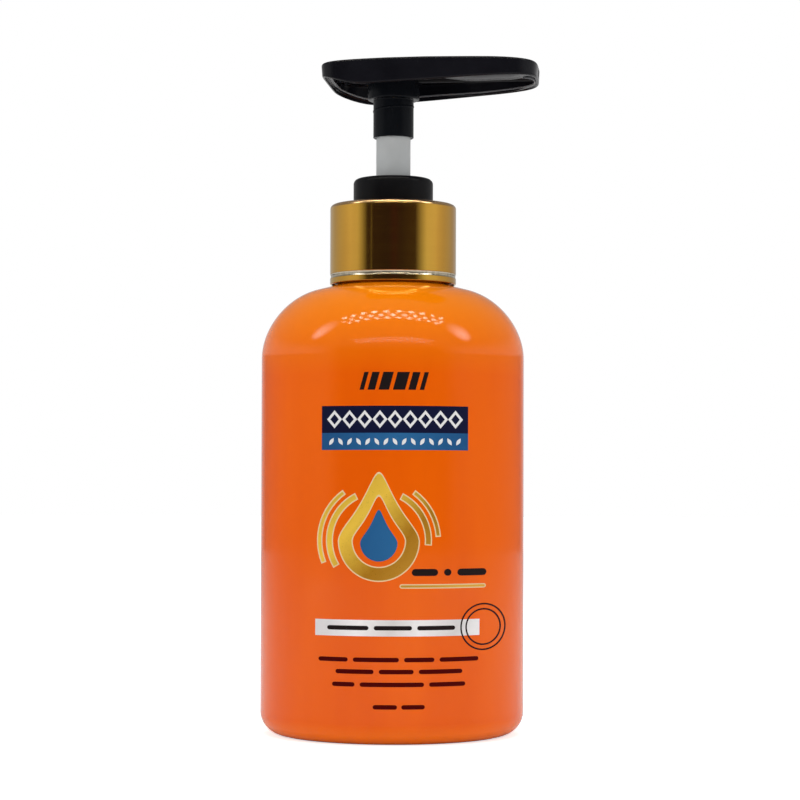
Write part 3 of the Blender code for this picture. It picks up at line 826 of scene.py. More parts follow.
@dataclass
class BottleBody:
    """The blown bottle with its rounded shoulder, threaded neck and pushed-up base."""

    maker: Maker
    radius: float = 31.95 * MM
    wall: float = 1.1 * MM
    shoulder_corner: float = 104.1 * MM
    shoulder_rounding: float = 17.3 * MM
    shoulder_slope: float = math.radians(14.5)
    foot_rounding: float = 5.5 * MM
    base_rounding: float = 1.0 * MM
    floor_rounding: float = 1.2 * MM
    throat_rounding: float = 0.8 * MM
    neck_foot_rounding: float = 0.5 * MM
    mouth_rounding: float = 0.25 * MM
    ring_inner: float = 22.0 * MM
    push_up_radius: float = 17.0 * MM
    push_up_depth: float = 1.5 * MM
    neck_radius: float = 12.5 * MM
    neck_bore: float = 10.7 * MM
    neck_top: float = 124.1 * MM
    thread_crest: float = 13.6 * MM
    thread_bottom: float = 114.5505 * MM
    thread_pitch: float = 4.233 * MM
    thread_turns: float = 1.5
    thread_widths: Point = (1.8 * MM, 0.8 * MM)
    thread_sunk: float = 0.3 * MM
    pinch_size: Place = (28 * MM, 0.5 * MM, 0.6 * MM)
    pinch_rise: float = 0.1 * MM
    pinch_rounding: float = 0.15 * MM
    sides: int = 192

    def profile(self) -> Profile:
        """Draw the bottle's profile.

        Returns:
            Its corners, from the floor inside over the neck to the base outside.
        """
        inner = self.radius - self.wall
        floor = self.push_up_depth + self.wall
        lower = self.wall / math.cos(self.shoulder_slope)
        return (
            (0, floor),
            (self.push_up_radius, floor, self.floor_rounding),
            (self.ring_inner, self.wall, self.floor_rounding),
            (inner, self.wall, self.foot_rounding - self.wall),
            (inner, self.shoulder(inner) - lower, self.shoulder_rounding - self.wall),
            (self.neck_bore, self.shoulder(self.neck_bore) - lower, self.throat_rounding),
            (self.neck_bore, self.neck_top, self.mouth_rounding),
            (self.neck_radius, self.neck_top, SOFT),
            (self.neck_radius, self.shoulder(self.neck_radius), self.neck_foot_rounding),
            (self.radius, self.shoulder_corner, self.shoulder_rounding),
            (self.radius, 0, self.foot_rounding),
            (self.ring_inner, 0, self.base_rounding),
            (self.push_up_radius, self.push_up_depth, self.base_rounding),
            (0, self.push_up_depth),
        )

    def shoulder(self, radius: float) -> float:
        """Return the height of the shoulder's sloping part at a radius."""
        return self.shoulder_corner + (self.radius - radius) * math.tan(self.shoulder_slope)

    def pinch_line(self) -> BMesh:
        """Make the low ridge that the mould's halves leave across the base.

        Returns:
            Its mesh.
        """
        build = bmesh.new()
        bmesh.ops.create_cube(build, size=1.0)
        bmesh.ops.scale(build, verts=build.verts, vec=self.pinch_size)
        moved(build, z=self.push_up_depth + self.pinch_rise)
        bevel(build, build.edges[:], self.pinch_rounding, 2, "EDGES")
        return tidied(build)

    def build(self) -> None:
        """Make the bottle's pieces."""
        thread = Thread(
            self.neck_radius - self.thread_sunk, self.thread_crest, self.thread_bottom,
            self.thread_pitch, self.thread_turns, *self.thread_widths,
        )
        body = turned(self.profile(), self.sides, closed=False)
        plastic = GlossBody().material()
        for name, build, solids in (
            ("bottle_body", body, ["bottle"]),
            ("bottle_neck_thread", thread.mesh(), []),
            ("bottle_pinch_line", self.pinch_line(), []),
        ):
            self.maker.piece(name, build, plastic, Body.BOTTLE, Slot.ORANGE, solids)


# ---------------------------------------------------------------- the prints


def in_mm(values: Iterable[float]) -> tuple[float, ...]:
    """Return lengths that are given in millimetres."""
    return tuple(value * MM for value in values)


def flat_face(build: BMesh, outline: Outline) -> None:
    """Add one flat face with that outline, across the X and Z axes."""
    build.faces.new([build.verts.new((x, 0, z)) for x, z in outline])


def flat_band(build: BMesh, outer: Outline, inner: Outline) -> None:
    """Add a flat band between two outlines of equally many points.

    Args:
        build: the mesh that it is added to.
        outer: its outer edge.
        inner: its inner edge.
    """
    loops = []
    for outline in (outer, inner):
        points = [build.verts.new((x, 0, z)) for x, z in outline]
        loops += [build.edges.new((points[i - 1], points[i])) for i in range(len(points))]
    bmesh.ops.bridge_loops(build, edges=loops)


def on_circle(centre: Point, radius: float, turn: float) -> Point:
    """Return a circle's point at a turn from +X."""
    return centre[0] + radius * math.cos(turn), centre[1] + radius * math.sin(turn)


def flat_arc(build: BMesh, centre: Point, radii: Point, start: float, sweep: float) -> None:
    """Add a flat arc.

    Args:
        build: the mesh that it is added to.
        centre: its centre.
        radii: its inner and its outer radius.
        start: the angle in degrees where it starts, from +X.
        sweep: how far it goes, in degrees.
    """
    places = [on_circle(centre, radius, math.radians(start)) for radius in radii]
    ends = [build.verts.new((x, 0, z)) for x, z in places]
    bmesh.ops.spin(
        build, geom=[*ends, build.edges.new(ends)], cent=(centre[0], 0, centre[1]),
        axis=(0, -1, 0), angle=math.radians(sweep), steps=max(6, round(abs(sweep) / 6)),
    )


def box_outline(left: float, right: float, low: float, high: float) -> Outline:
    """Return the corners of an upright rectangle."""
    return [(left, low), (right, low), (right, high), (left, high)]


def bar_outline(left: float, right: float, middle: float, height: float) -> Outline:
    """Return a level bar with round ends.

    Args:
        left: its left end.
        right: its right end.
        middle: how high its middle line lies.
        height: its thickness.

    Returns:
        Its outline.
    """
    radius = height / 2
    ends = ((right - radius, -90), (left + radius, 90))
    return [
        on_circle((x, middle), radius, math.radians(start + 30 * step))
        for x, start in ends for step in range(7)
    ]


def lozenge_outline(centre: Point, half_width: float, half_height: float) -> Outline:
    """Return a lozenge's corners."""
    x, z = centre
    return [(x - half_width, z), (x, z - half_height), (x + half_width, z), (x, z + half_height)]


def leaf_outline(centre: Point, length: float, width: float, turn: float) -> Outline:
    """Return a leaf with two pointed ends.

    Args:
        centre: its middle.
        length: from point to point.
        width: its widest.
        turn: how far its length is turned from level, in degrees.

    Returns:
        Its outline.
    """
    cosine, sine = math.cos(math.radians(turn)), math.sin(math.radians(turn))
    steps = 12
    upper = [
        (length * (i / steps - 0.5), width / 2 * math.sin(math.pi * i / steps))
        for i in range(steps + 1)
    ]
    lower = [(x, -z) for x, z in reversed(upper[1:-1])]
    return [
        (centre[0] + x * cosine - z * sine, centre[1] + x * sine + z * cosine)
        for x, z in (*upper, *lower)
    ][::-1]


def circle_outline(centre: Point, radius: float, steps: int = 64) -> Outline:
    """Return a circle's outline."""
    return [on_circle(centre, radius, FULL_TURN * index / steps) for index in range(steps)]


def drop_outline(centre: Point, radius: float, tip: float, steps: int = 64) -> Outline:
    """Return a drop of lotion: a circle drawn up to a point.

    Args:
        centre: the circle's centre.
        radius: its radius.
        tip: how high the point stands over the centre.
        steps: the outline's points.

    Returns:
        The outline.
    """
    points = []
    for index in range(steps):
        turn = FULL_TURN * index / steps - QUARTER_TURN
        rise = max(0.0, math.sin(turn))
        x = centre[0] + radius * math.cos(turn) * (1 - 0.55 * rise**1.5)
        points.append((x, centre[1] + math.sin(turn) * (radius + (tip - radius) * rise**3)))
    return points


@dataclass
class Prints:
    """The printed panels, rules and emblem on the bottle's front, placed in millimetres."""

    maker: Maker
    radius: float = 31.95 * MM
    buried: float = 0.03 * MM
    strip_width: float = 0.8 * MM
    bars: Outline = ((-6.6, 1.0), (-4.4, 1.7), (-1.5, 2.4), (2.0, 2.8), (5.0, 1.7), (7.3, 1.0))
    bar_heights: Point = (82.2, 86.3)
    bar_slant: float = 1.1
    navy_box: Box = (-16.4, 17.55, 72.25, 78.5)
    blue_box: Box = (-16.4, 17.55, 68.3, 72.25)
    silver_box: Box = (-17.8, 20.35, 25.4, 29.15)
    pattern_middle: float = 0.575
    lozenge_row: Point = (75.4, 3.5)
    lozenge_sizes: Outline = ((1.75, 2.1), (1.0, 1.2))
    leaf_row: Point = (70.25, 2.1)
    leaf_size: Point = (1.9, 0.85)
    leaf_turn: float = 58
    emblem: Point = (-3.1, 47.4)
    emblem_sizes: Outline = ((9.2, 15.4), (6.3, 10.6))
    tip_share: float = 1.6
    arcs: Outline = ((10.9, 12.0), (13.4, 14.1))
    arc_spans: Outline = ((118, 92), (62, -66))
    arc_middle: float = 12
    outer_arc: float = 13
    outer_spare: float = 9.0
    emblem_margin: float = 0.28
    gold_rule: Box = (1.95, 21.6, 36.9, 0.5)
    rule_edge: Box = (1.7, 21.9, 36.9, 1.0)
    drop: Point = (-3.1, 46.9)
    drop_size: Point = (4.3, 7.6)
    rings_centre: Point = (21.3, 27.3)
    rings: Outline = ((5.5, 5.15), (4.3, 3.95))
    dark_rows: Rows = (
        (40.1, 1.6, ((4.5, 10.6), (12.0, 13.7), (15.1, 22.0))),
        (27.3, 1.0, ((-15.0, -5.4), (-4.2, 4.6), (5.8, 14.6))),
    )
    low_rows: Rows = (
        (20.0, 1.0, ((-17.0, -10.2), (-9.0, 1.6), (2.8, 9.8), (11.0, 20.1))),
        (17.25, 1.0, ((-13.0, -4.2), (-3.0, 5.0), (6.2, 16.3))),
        (14.3, 1.0, ((-13.8, -8.6), (-7.4, 7.4), (8.6, 17.0))),
        (9.15, 1.0, ((-4.4, 1.2), (2.2, 7.6))),
    )

    def wrapped(self, build: BMesh, layer: Layer) -> BMesh:
        """Give flat shapes their thickness and lay them on the bottle's wall.

        Args:
            build: flat shapes across the X and Z axes, as seen from the front.
            layer: how far they stand out.

        Returns:
            The same mesh, closed and wrapped.
        """
        reach = max(abs(point.co.x) for point in build.verts)
        count = math.ceil(reach / self.strip_width)
        for index in range(-count, count + 1):
            bmesh.ops.bisect_plane(
                build, geom=[*build.verts, *build.edges, *build.faces],
                plane_co=(index * self.strip_width, 0, 0), plane_no=(1, 0, 0),
            )
        raised = bmesh.ops.extrude_face_region(build, geom=build.faces[:])["geom"]
        front = set(points_of(raised))
        for point in build.verts:
            depth = self.radius + (layer.value if point in front else -self.buried)
            turn = math.asin(point.co.x / self.radius)
            point.co.x = depth * math.sin(turn)
            point.co.y = -depth * math.cos(turn)
        bmesh.ops.recalc_face_normals(build, faces=build.faces)
        return build

    @staticmethod
    def inks() -> dict[str, Material]:
        """Make the inks and foils.

        Returns:
            Their materials by their tones' names.
        """
        deep_blue, mid_blue = (0.012, 0.076, 0.215), (0.026, 0.140, 0.330)
        # The silver foil's light and dark bands across its run are painted reflections.
        silver = (
            (0.0, (0.76, 0.75, 0.75)), (0.18, (0.95, 0.94, 0.93)), (0.38, (0.74, 0.71, 0.69)),
            (0.55, (0.95, 0.93, 0.92)), (0.76, (0.72, 0.71, 0.70)), (0.9, (0.96, 0.95, 0.95)),
            (1.0, (0.74, 0.73, 0.73)),
        )
        # The gold foil's light and dark bands are painted reflections, over its slight real metal.
        gold = (
            (0.0, (0.62, 0.36, 0.03)), (0.35, (0.95, 0.61, 0.07)),
            (0.6, (0.45, 0.20, 0.014)), (1.0, (0.80, 0.42, 0.06)),
        )
        brown = ((0.0, (0.070, 0.001, 0.0005)), (1.0, (0.078, 0.002, 0.001)))
        finishes = (
            Ink("black_ink", ((0.0, (0.012, 0.008, 0.008)), (1.0, (0.016, 0.01, 0.01)))),
            Ink("brown_ink", brown, specular=0.03),
            Ink("white_ink", ((0.0, 0.80), (1.0, 0.84))),
            Ink("navy_ink", ((0.0, (0.005, 0.007, 0.033)), (1.0, (0.007, 0.009, 0.039)))),
            Ink("blue_ink", ((0.0, deep_blue), (0.5, mid_blue), (1.0, deep_blue))),
            Ink("cream_ink", ((0.0, (0.85, 0.66, 0.36)), (1.0, (0.85, 0.66, 0.36)))),
            Ink("silver_foil", silver, 0.3, across=(0.96, 0.0, -0.28), span=(-24 * MM, 14 * MM)),
            Ink("gold_foil", gold, 0.3, 0.25, across=(0.70, 0.0, -0.70), span=(-58 * MM, -16 * MM)),
        )
        return {ink.name.split("_")[0]: ink.material() for ink in finishes}

    def build(self) -> None:
        """Make all prints."""
        inks = self.inks()
        for name, ink, layer, draw in (
            ("name_ornament", "black", Layer.BASE, self.name_ornament),
            ("navy_panel", "navy", Layer.BASE, self.panel(self.navy_box)),
            ("blue_strip", "blue", Layer.BASE, self.panel(self.blue_box)),
            ("panel_pattern", "white", Layer.TOP, self.panel_pattern),
            ("emblem_edge", "cream", Layer.EDGE, self.waves(self.emblem_margin, self.rule_edge)),
            ("emblem_gold", "gold", Layer.MIDDLE, self.waves(0.0, self.gold_rule)),
            ("emblem_drop", "blue", Layer.MIDDLE, self.emblem_drop),
            ("silver_strip", "silver", Layer.BASE, self.panel(self.silver_box)),
            ("twin_rings", "black", Layer.TOP, self.twin_rings),
            ("dark_rules", "black", Layer.TOP, self.rules(self.dark_rows)),
            ("low_rules", "brown", Layer.TOP, self.rules(self.low_rows)),
        ):
            build = bmesh.new()
            draw(build)
            self.maker.piece("print_" + name, self.wrapped(build, layer), inks[ink], Body.BOTTLE)

    def name_ornament(self, build: BMesh) -> None:
        """Draw a row of slanted bars that narrow from its middle to its ends.

        Args:
            build: the mesh that they are added to.
        """
        low, high = in_mm(self.bar_heights)
        lean = self.bar_slant * MM / 2
        for middle, width in self.bars:
            left, right = (middle - width / 2) * MM, (middle + width / 2) * MM
            corners = box_outline(left, right, low, high)
            flat_face(build, [(x + (lean if z == high else -lean), z) for x, z in corners])

    @staticmethod
    def panel(box: Box) -> Draw:
        """Return what draws an upright rectangle."""
        return lambda build: flat_face(build, box_outline(*in_mm(box)))

    @staticmethod
    def rules(rows: Rows) -> Draw:
        """Prepare rows of level bars.

        Args:
            rows: how high each row lies, its thickness and its bars' ends.

        Returns:
            What draws them.
        """

        def draw(build: BMesh) -> None:
            """Add the bars.

            Args:
                build: the mesh that they are added to.
            """
            for middle, height, bars in rows:
                for bar in bars:
                    flat_face(build, bar_outline(*in_mm((*bar, middle, height))))

        return draw

    def panel_pattern(self, build: BMesh) -> None:
        """Draw a row of hollow lozenges on the panel and a row of leaves on the strip.

        Args:
            build: the mesh that they are added to.
        """
        middle = self.pattern_middle * MM
        level, spacing = self.lozenge_row
        for index in range(-4, 5):
            place = (middle + index * spacing * MM, level * MM)
            sizes = self.lozenge_sizes
            flat_band(build, *(lozenge_outline(place, *in_mm(size)) for size in sizes))
        level, spacing = self.leaf_row
        for index in range(-7, 8):
            place = (middle + index * spacing * MM, level * MM)
            turn = self.leaf_turn if index % 2 else -self.leaf_turn
            flat_face(build, leaf_outline(place, *in_mm(self.leaf_size), turn))

    def waves(self, wider: float, rule: Box) -> Draw:
        """Return what draws the emblem's hollow drop, its arcs and the rule beside it.

        Args:
            wider: how far the shapes are drawn out all round.
            rule: the rule's ends, its height and its thickness.

        Returns:
            What draws them.
        """

        def draw(build: BMesh) -> None:
            """Add the shapes.

            Args:
                build: the mesh that they are added to.
            """
            centre = in_mm(self.emblem)
            margin = wider * MM
            longer = math.degrees(margin / (self.arc_middle * MM))
            flat_band(
                build,
                *(
                    drop_outline(centre, size * MM + more, tip * MM + more * self.tip_share)
                    for (size, tip), more in zip(self.emblem_sizes, (margin, -margin))
                ),
            )
            for start, sweep in self.arc_spans:
                for low, high in self.arcs:
                    spare = 0.0 if high < self.outer_arc else self.outer_spare
                    sign = math.copysign(1.0, sweep)
                    radii = (low * MM - margin, high * MM + margin)
                    begin = start + sign * (spare - longer)
                    flat_arc(build, centre, radii, begin, sweep - sign * (2 * spare - 2 * longer))
            flat_face(build, bar_outline(*in_mm(rule)))

        return draw

    def emblem_drop(self, build: BMesh) -> None:
        """Draw the blue drop in the middle of the emblem."""
        flat_face(build, drop_outline(in_mm(self.drop), *in_mm(self.drop_size)))

    def twin_rings(self, build: BMesh) -> None:
        """Draw two narrow rings, one in the other, at the strip's right end.

        Args:
            build: the mesh that they are added to.
        """
        centre = in_mm(self.rings_centre)
        for radii in self.rings:
            flat_band(build, *(circle_outline(centre, radius) for radius in in_mm(radii)))


# ---------------------------------------------------------------- collar, ring, stem, spring


@dataclass
class Collar:
    """The gold shell over the screw closure."""

    maker: Maker
    radius: float = 15.36 * MM
    wall: float = 0.4 * MM
    bottom: float = 109.05 * MM
    top: float = 128.5 * MM
    hole: float = 8.9 * MM
    top_rounding: float = 1.0 * MM
    bottom_rounding: float = 0.18 * MM
    cut_rounding: float = 0.03 * MM
    groove_rounding: float = 1.0 * MM
    cut_middle: float = 110.95 * MM
    cut_half: float = 0.52 * MM
    cut_depth: float = 0.25 * MM
    channel_depth: float = 0.30 * MM
    face_inset: float = 0.012 * MM
    back_inset: float = 0.03 * MM
    side_inset: float = 0.01 * MM
    sides: int = 192

    def shell(self) -> Profile:
        """Draw the shell's profile.

        Returns:
            Its corners.
        """
        inner = self.radius - self.wall
        channel = self.radius - self.channel_depth
        return (
            (self.hole, self.top, FINE),
            (self.radius, self.top, self.top_rounding),
            (self.radius, self.cut_middle + self.cut_half, self.cut_rounding),
            (channel, self.cut_middle + self.cut_half),
            (channel, self.cut_middle - self.cut_half),
            (self.radius, self.cut_middle - self.cut_half, self.cut_rounding),
            (self.radius, self.bottom, self.bottom_rounding),
            (inner, self.bottom),
            (inner, self.top - self.wall, self.top_rounding - self.wall),
            (self.hole, self.top - self.wall),
        )

    def cut_line(self) -> Profile:
        """Draw the profile of the bare groove that is cut round the shell.

        Returns:
            Its corners.
        """
        face = self.radius - self.face_inset
        back = self.radius - self.channel_depth - self.back_inset
        top = self.cut_middle + self.cut_half - self.side_inset
        low = self.cut_middle - self.cut_half + self.side_inset
        middle = (self.radius - self.cut_depth, self.cut_middle, self.groove_rounding)
        return ((back, top), (face, top), middle, (face, low), (back, low))

    def build(self) -> None:
        """Make the collar's pieces."""
        shell, groove = (turned(p, self.sides) for p in (self.shell(), self.cut_line()))
        gold = DrawnShell().material()
        self.maker.piece(
            "collar_shell_gold", shell, gold, Body.COLLAR, Slot.GOLD, ["collar_shell"]
        )
        self.maker.piece("collar_cut_line", groove, cut_aluminium().material(), Body.COLLAR)


@dataclass
class LockRing:
    """The black ring round the stem, with the inner thread that locks the head down."""

    maker: Maker
    plastic: Material
    radius: float = 9.71 * MM
    bottom: float = 128.8 * MM
    top: float = 134.9 * MM
    top_rounding: float = 1.3 * MM
    bore_rounding: float = 0.35 * MM
    neck_radius: float = 8.6 * MM
    neck_bottom: float = 123.3 * MM
    guide_top: float = 124.6 * MM
    guide_bore: float = 4.35 * MM
    bore: float = 5.53 * MM
    thread_crest: float = 5.08 * MM
    thread_sunk: float = 0.3 * MM
    thread_inset: float = 0.8 * MM
    thread_height: float = 3.0 * MM
    sides: int = 160

    def profile(self) -> Profile:
        """Draw the ring's profile.

        Returns:
            Its corners.
        """
        return (
            (self.bore, self.top, self.bore_rounding),
            (self.radius, self.top, self.top_rounding),
            (self.radius, self.bottom, SMALL),
            (self.neck_radius, self.bottom),
            (self.neck_radius, self.neck_bottom, SOFT),
            (self.guide_bore, self.neck_bottom, FINE),
            (self.guide_bore, self.guide_top, FINE),
            (self.bore, self.guide_top),
        )

    def build(self) -> None:
        """Make the ring and its thread."""
        bottom = self.top - self.thread_inset - self.thread_height
        thread = Thread(self.bore + self.thread_sunk, self.thread_crest, bottom)
        for name, build, solids in (
            ("lock_ring_black", turned(self.profile(), self.sides), ["lock_ring"]),
            ("lock_ring_thread", thread.mesh(), []),
        ):
            self.maker.piece(name, build, self.plastic, Body.PUMP, Slot.BLACK, solids)


@dataclass
class Stem:
    """The hollow stem that carries the head."""

    maker: Maker
    plastic: Material
    radius: float = 4.18 * MM
    bore: float = 2.2 * MM
    top: float = 157.5 * MM
    foot_radius: float = 5.9 * MM
    foot_top: float = 123.0 * MM
    foot_bottom: float = 121.0 * MM
    tail_radius: float = 3.6 * MM
    tail_bottom: float = 116.6 * MM
    sides: int = 96

    def build(self) -> None:
        """Make the stem."""
        profile = (
            (self.bore, self.top, SMALL),
            (self.radius, self.top, SOFT),
            (self.radius, self.foot_top, SMALL),
            (self.foot_radius, self.foot_top, SOFT),
            (self.foot_radius, self.foot_bottom, SOFT),
            (self.tail_radius, self.foot_bottom),
            (self.tail_radius, self.tail_bottom, SOFT),
            (self.bore, self.tail_bottom, SMALL),
        )
        build = turned(profile, self.sides)
        self.maker.piece(
            "stem_natural", build, self.plastic, Body.PLUNGER, Slot.NATURAL, ["stem"]
        )


@dataclass
class ReturnSpring:
    """The coil spring, with its end coils wound close and seated flat."""

    maker: Maker
    radius: float = 4.175 * MM
    wire: float = 0.45 * MM
    bottom: float = 88.0 * MM
    top: float = 112.1 * MM
    gap: float = 0.3 * MM
    close_turns: float = 1.0
    active_turns: float = 6.0
    kept_share: float = 0.407
    wire_sides: int = 12
    steps: int = 40

    def build(self) -> None:
        """Make the spring, which shortens as the head is pressed."""
        build = bmesh.new()
        bmesh.ops.create_circle(build, cap_ends=True, segments=self.wire_sides, radius=self.wire)
        start = self.bottom + self.gap + self.wire
        moved(rotated(build, Matrix.Rotation(QUARTER_TURN, 3, "X")), self.radius, z=start)
        climb = self.top - self.gap - self.wire - start
        close_pitch = 2 * self.wire
        open_pitch = (climb - 2 * self.close_turns * close_pitch) / self.active_turns
        close = (self.close_turns, close_pitch)
        stretches = (close, (self.active_turns, open_pitch), close)
        coiled(build.faces[:], build, stretches, self.steps)
        piece = self.maker.piece(
            "return_spring_coil", tidied(build), drawn_steel("drawn_steel").material(),
            Body.SPRING, Slot.STEEL, ["return_spring"],
        )
        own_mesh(piece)


# ---------------------------------------------------------------- the pump head


@dataclass
class PumpHead:
    """The actuator: a hollow tray with a boss, a threaded sleeve and a nozzle."""

    maker: Maker
    plastic: Material
    sleeve_plastic: Material
    matt_plastic: Material
    # pale grey plastic for the rib: a painted highlight line along the inner rim
    painted_highlight_plastic: Material
    top: float = 162.38 * MM
    length: float = 51.95 * MM
    rear_reach: float = 16.45 * MM
    width: float = 29.6 * MM
    taper: float = 0.10
    rear_power: float = 7.0
    tip_power: float = 4.4
    opening_power: float = 3.0
    sides: int = 192
    wall: float = 1.7 * MM
    tip_wall: float = 1.0 * MM
    tip_lip: float = 4.7 * MM
    plate: float = 1.8 * MM
    top_rounding: float = 0.5 * MM
    top_steps: int = 8
    ceiling_inset: float = 1.5 * MM
    ceiling_rounding: float = 0.5 * MM
    edge_rounding: float = 0.2 * MM
    outer_rounding: float = 0.45 * MM
    draft: float = 0.15 * MM
    hold: float = 0.04 * MM
    rear_dip: float = 0.9 * MM
    rear_dip_length: float = 22.5 * MM
    tip_dip: float = 0.25 * MM
    tip_dip_length: float = 12 * MM
    rim_rear: float = 4.0 * MM
    rim_lowest: float = 6.42 * MM
    rim_tip: float = 4.0 * MM
    lowest_share: float = 0.21
    skirt_wall: float = 0.75 * MM
    skirt_height: float = 0.9 * MM
    tip_skirt_height: float = 0.3 * MM
    lip_lift: float = 0.1 * MM
    lip_fall: float = 0.85 * MM
    lip_places: Point = (8 * MM, 22 * MM)
    lip_end_places: Point = (29 * MM, 35.5 * MM)
    rib_height: float = 1.05 * MM
    rib_fall: float = 0.95 * MM
    rib_section: Outline = (
        (0.05, 0.17), (-0.10, 0.17), (-0.15, 0.0), (-0.10, -0.17), (0.05, -0.17)
    )
    boss_sunk: float = 0.5 * MM
    boss_radius: float = 6.3 * MM
    boss_rounding: float = 0.45 * MM
    sleeve_root_rounding: float = 0.25 * MM
    sleeve_bore_rounding: float = 0.12 * MM
    boss_bottom: float = 154.25 * MM
    sleeve_radius: float = 4.93 * MM
    sleeve_bore: float = 4.35 * MM
    sleeve_bottom: float = 144.95 * MM
    seat_top: float = 157.8 * MM
    riser_bore: float = 2.2 * MM
    thread_sunk: float = 0.25 * MM
    thread_crest: float = 5.04 * MM
    thread_bottom: float = 150.25 * MM
    duct_height: float = 160.2 * MM
    duct_bore: float = 1.0 * MM
    duct_wall: float = 0.7 * MM
    duct_start: float = 3.0 * MM
    duct_short: float = 0.6 * MM
    duct_sides: int = 32
    drill_length: float = 12 * MM
    yaw: float = math.radians(-6.6)
    lean: float = math.radians(0.65)

    def outline(
        self, turn: float, along_inset: float, across_inset: float, is_opening: bool = False
    ) -> Point:
        """Return a point of the tray's squarish oval.

        Args:
            turn: the point's turn round the oval.
            along_inset: how far the oval is drawn in at each end.
            across_inset: how far it is drawn in at each side.
            is_opening: whether it is the rounder oval of the opening underneath.

        Returns:
            Its place lengthwise and sideways.
        """
        cosine, sine = math.cos(turn), math.sin(turn)
        tip_power = self.opening_power if is_opening else self.tip_power
        power = tip_power if cosine > 0 else self.rear_power
        along = math.copysign(abs(cosine) ** (2 / power), cosine)
        across = math.copysign(abs(sine) ** (2 / power), sine)
        middle = self.length / 2 - self.rear_reach
        half_width = (self.width / 2 - across_inset) * (1 - self.taper * along)
        return middle + (self.length / 2 - along_inset) * along, half_width * across

    def rim(self, x: float) -> float:
        """Find the height of the tray's lower edge, which hangs lowest behind the stem.

        Args:
            x: the place lengthwise.

        Returns:
            The height there.
        """
        lowest = self.lowest_share * self.length
        from_rear = min(max(x + self.rear_reach, 0), self.length)
        if from_rear < lowest:
            share = math.sin(QUARTER_TURN * from_rear / lowest)
            return self.top - self.rim_rear - (self.rim_lowest - self.rim_rear) * share
        share = (from_rear - lowest) / (self.length - lowest)
        return self.top - self.rim_lowest + (self.rim_lowest - self.rim_tip) * share

    @staticmethod
    def eased(x: float, places: Point) -> float:
        """Return how far a place lies between two others, from 0 to 1, with soft ends."""
        share = min(max((x - places[0]) / (places[1] - places[0]), 0.0), 1.0)
        return share * share * (3 - 2 * share)

    def lip_share(self, x: float) -> float:
        """Return how far the lip has widened towards the nozzle, from 0 to 1."""
        return self.eased(x, self.lip_places)

    def top_height(self, x: float) -> float:
        """Find the height of the flat top, which dips a little towards both its ends.

        Args:
            x: the place lengthwise.

        Returns:
            The height there.
        """
        to_rear = max(0.0, 1 - (x + self.rear_reach) / self.rear_dip_length)
        to_tip = max(0.0, 1 - (self.length - self.rear_reach - x) / self.tip_dip_length)
        return self.top - self.rear_dip * to_rear**1.2 - self.tip_dip * to_tip**2

    def skirt_bottom(self, x: float) -> float:
        """Return the height of the skirt's lower edge."""
        return self.rim(x) + self.lip_lift * self.lip_share(x)

    def lip_outer(self, x: float) -> float:
        """Return the height where the lip leaves the skirt's inner side."""
        fall = (self.skirt_height - self.tip_skirt_height) * self.lip_share(x)
        return self.skirt_bottom(x) + self.skirt_height - fall

    def lip_inner(self, x: float) -> float:
        """Return the height of the lip's inner edge, which hangs down near the nozzle."""
        fall = self.lip_fall * self.lip_share(x) * (1 - self.eased(x, self.lip_end_places))
        return self.lip_outer(x) - fall

    def rib_level(self, x: float) -> float:
        """Return the rib's height, which comes down to the lip near the nozzle."""
        return self.skirt_bottom(x) + self.rib_height - self.rib_fall * self.lip_share(x)

    def ring(
        self, inset: float, height: float | Callable[[float], float],
        lift: float = 0.0, lip: bool = False,
    ) -> Ring:
        """Return one of the tray's rings.

        Args:
            inset: how far it is drawn in from the outline, or from the lip's inner edge.
            height: its height, or what gives it by the place lengthwise.
            lift: how much higher it lies than that.
            lip: whether its inset starts at the lip's inner edge.

        Returns:
            What gives the ring's point at a turn.
        """

        def point(turn: float) -> Place:
            """Place the ring's point at a turn.

            Args:
                turn: the turn round the outline.

            Returns:
                The point's place.
            """
            x = self.outline(turn, 0, 0, lip)[0]
            level = height(x) if callable(height) else height
            if not lip:
                return (*self.outline(turn, inset, inset), level + lift)
            share = self.lip_share(x)
            along = self.wall + (self.tip_wall - self.wall) * share
            across = self.wall + (self.tip_lip - self.wall) * share
            return (*self.outline(turn, inset + along, inset + across, True), level + lift)

        return point

    @staticmethod
    def arc(make: Callable[[float, float], Ring], first: int = 0, steps: int = 3) -> list[Ring]:
        """Return rings along a quarter of a circle.

        Args:
            make: makes a ring from the sine and the cosine of its turn.
            first: the step that the rings start with.
            steps: the steps of the quarter.

        Returns:
            The rings in order.
        """
        turns = [QUARTER_TURN * step / steps for step in range(first, steps + 1)]
        return [make(math.sin(turn), math.cos(turn)) for turn in turns]

    def rings(self) -> list[Ring]:
        """Lay out the tray's rings.

        Returns:
            The rings, from the ceiling inside round the rim to the top.
        """
        ring, arc, bottom, top = self.ring, self.arc, self.skirt_bottom, self.top_height
        ceiling, wall, draft, hold = self.top - self.plate, self.skirt_wall, self.draft, self.hold
        soft, edge = self.ceiling_rounding, self.edge_rounding
        outer, rounding = self.outer_rounding, self.top_rounding
        return [
            ring(self.ceiling_inset, ceiling, lip=True),
            ring(soft, ceiling, lip=True),
            *arc(lambda s, c: ring(soft * (1 - s), ceiling, soft * (c - 1), True), first=1),
            *arc(lambda s, c: ring(-edge * (1 - c), self.lip_inner, edge * (1 - s), True)),
            ring(wall + edge, self.lip_outer),
            ring(wall, self.lip_outer, -edge),
            *arc(lambda s, c: ring(wall - edge * (1 - c), bottom, edge * (1 - s))),
            *arc(lambda s, c: ring(draft + outer * (1 - s), bottom, outer * (1 - c))),
            ring(draft, bottom, outer + hold),
            ring(0.0, top, -rounding - hold),
            *arc(
                lambda s, c: ring(rounding * (1 - c), top, rounding * (s - 1)),
                steps=self.top_steps,
            ),
            ring(rounding + hold, top),
        ]

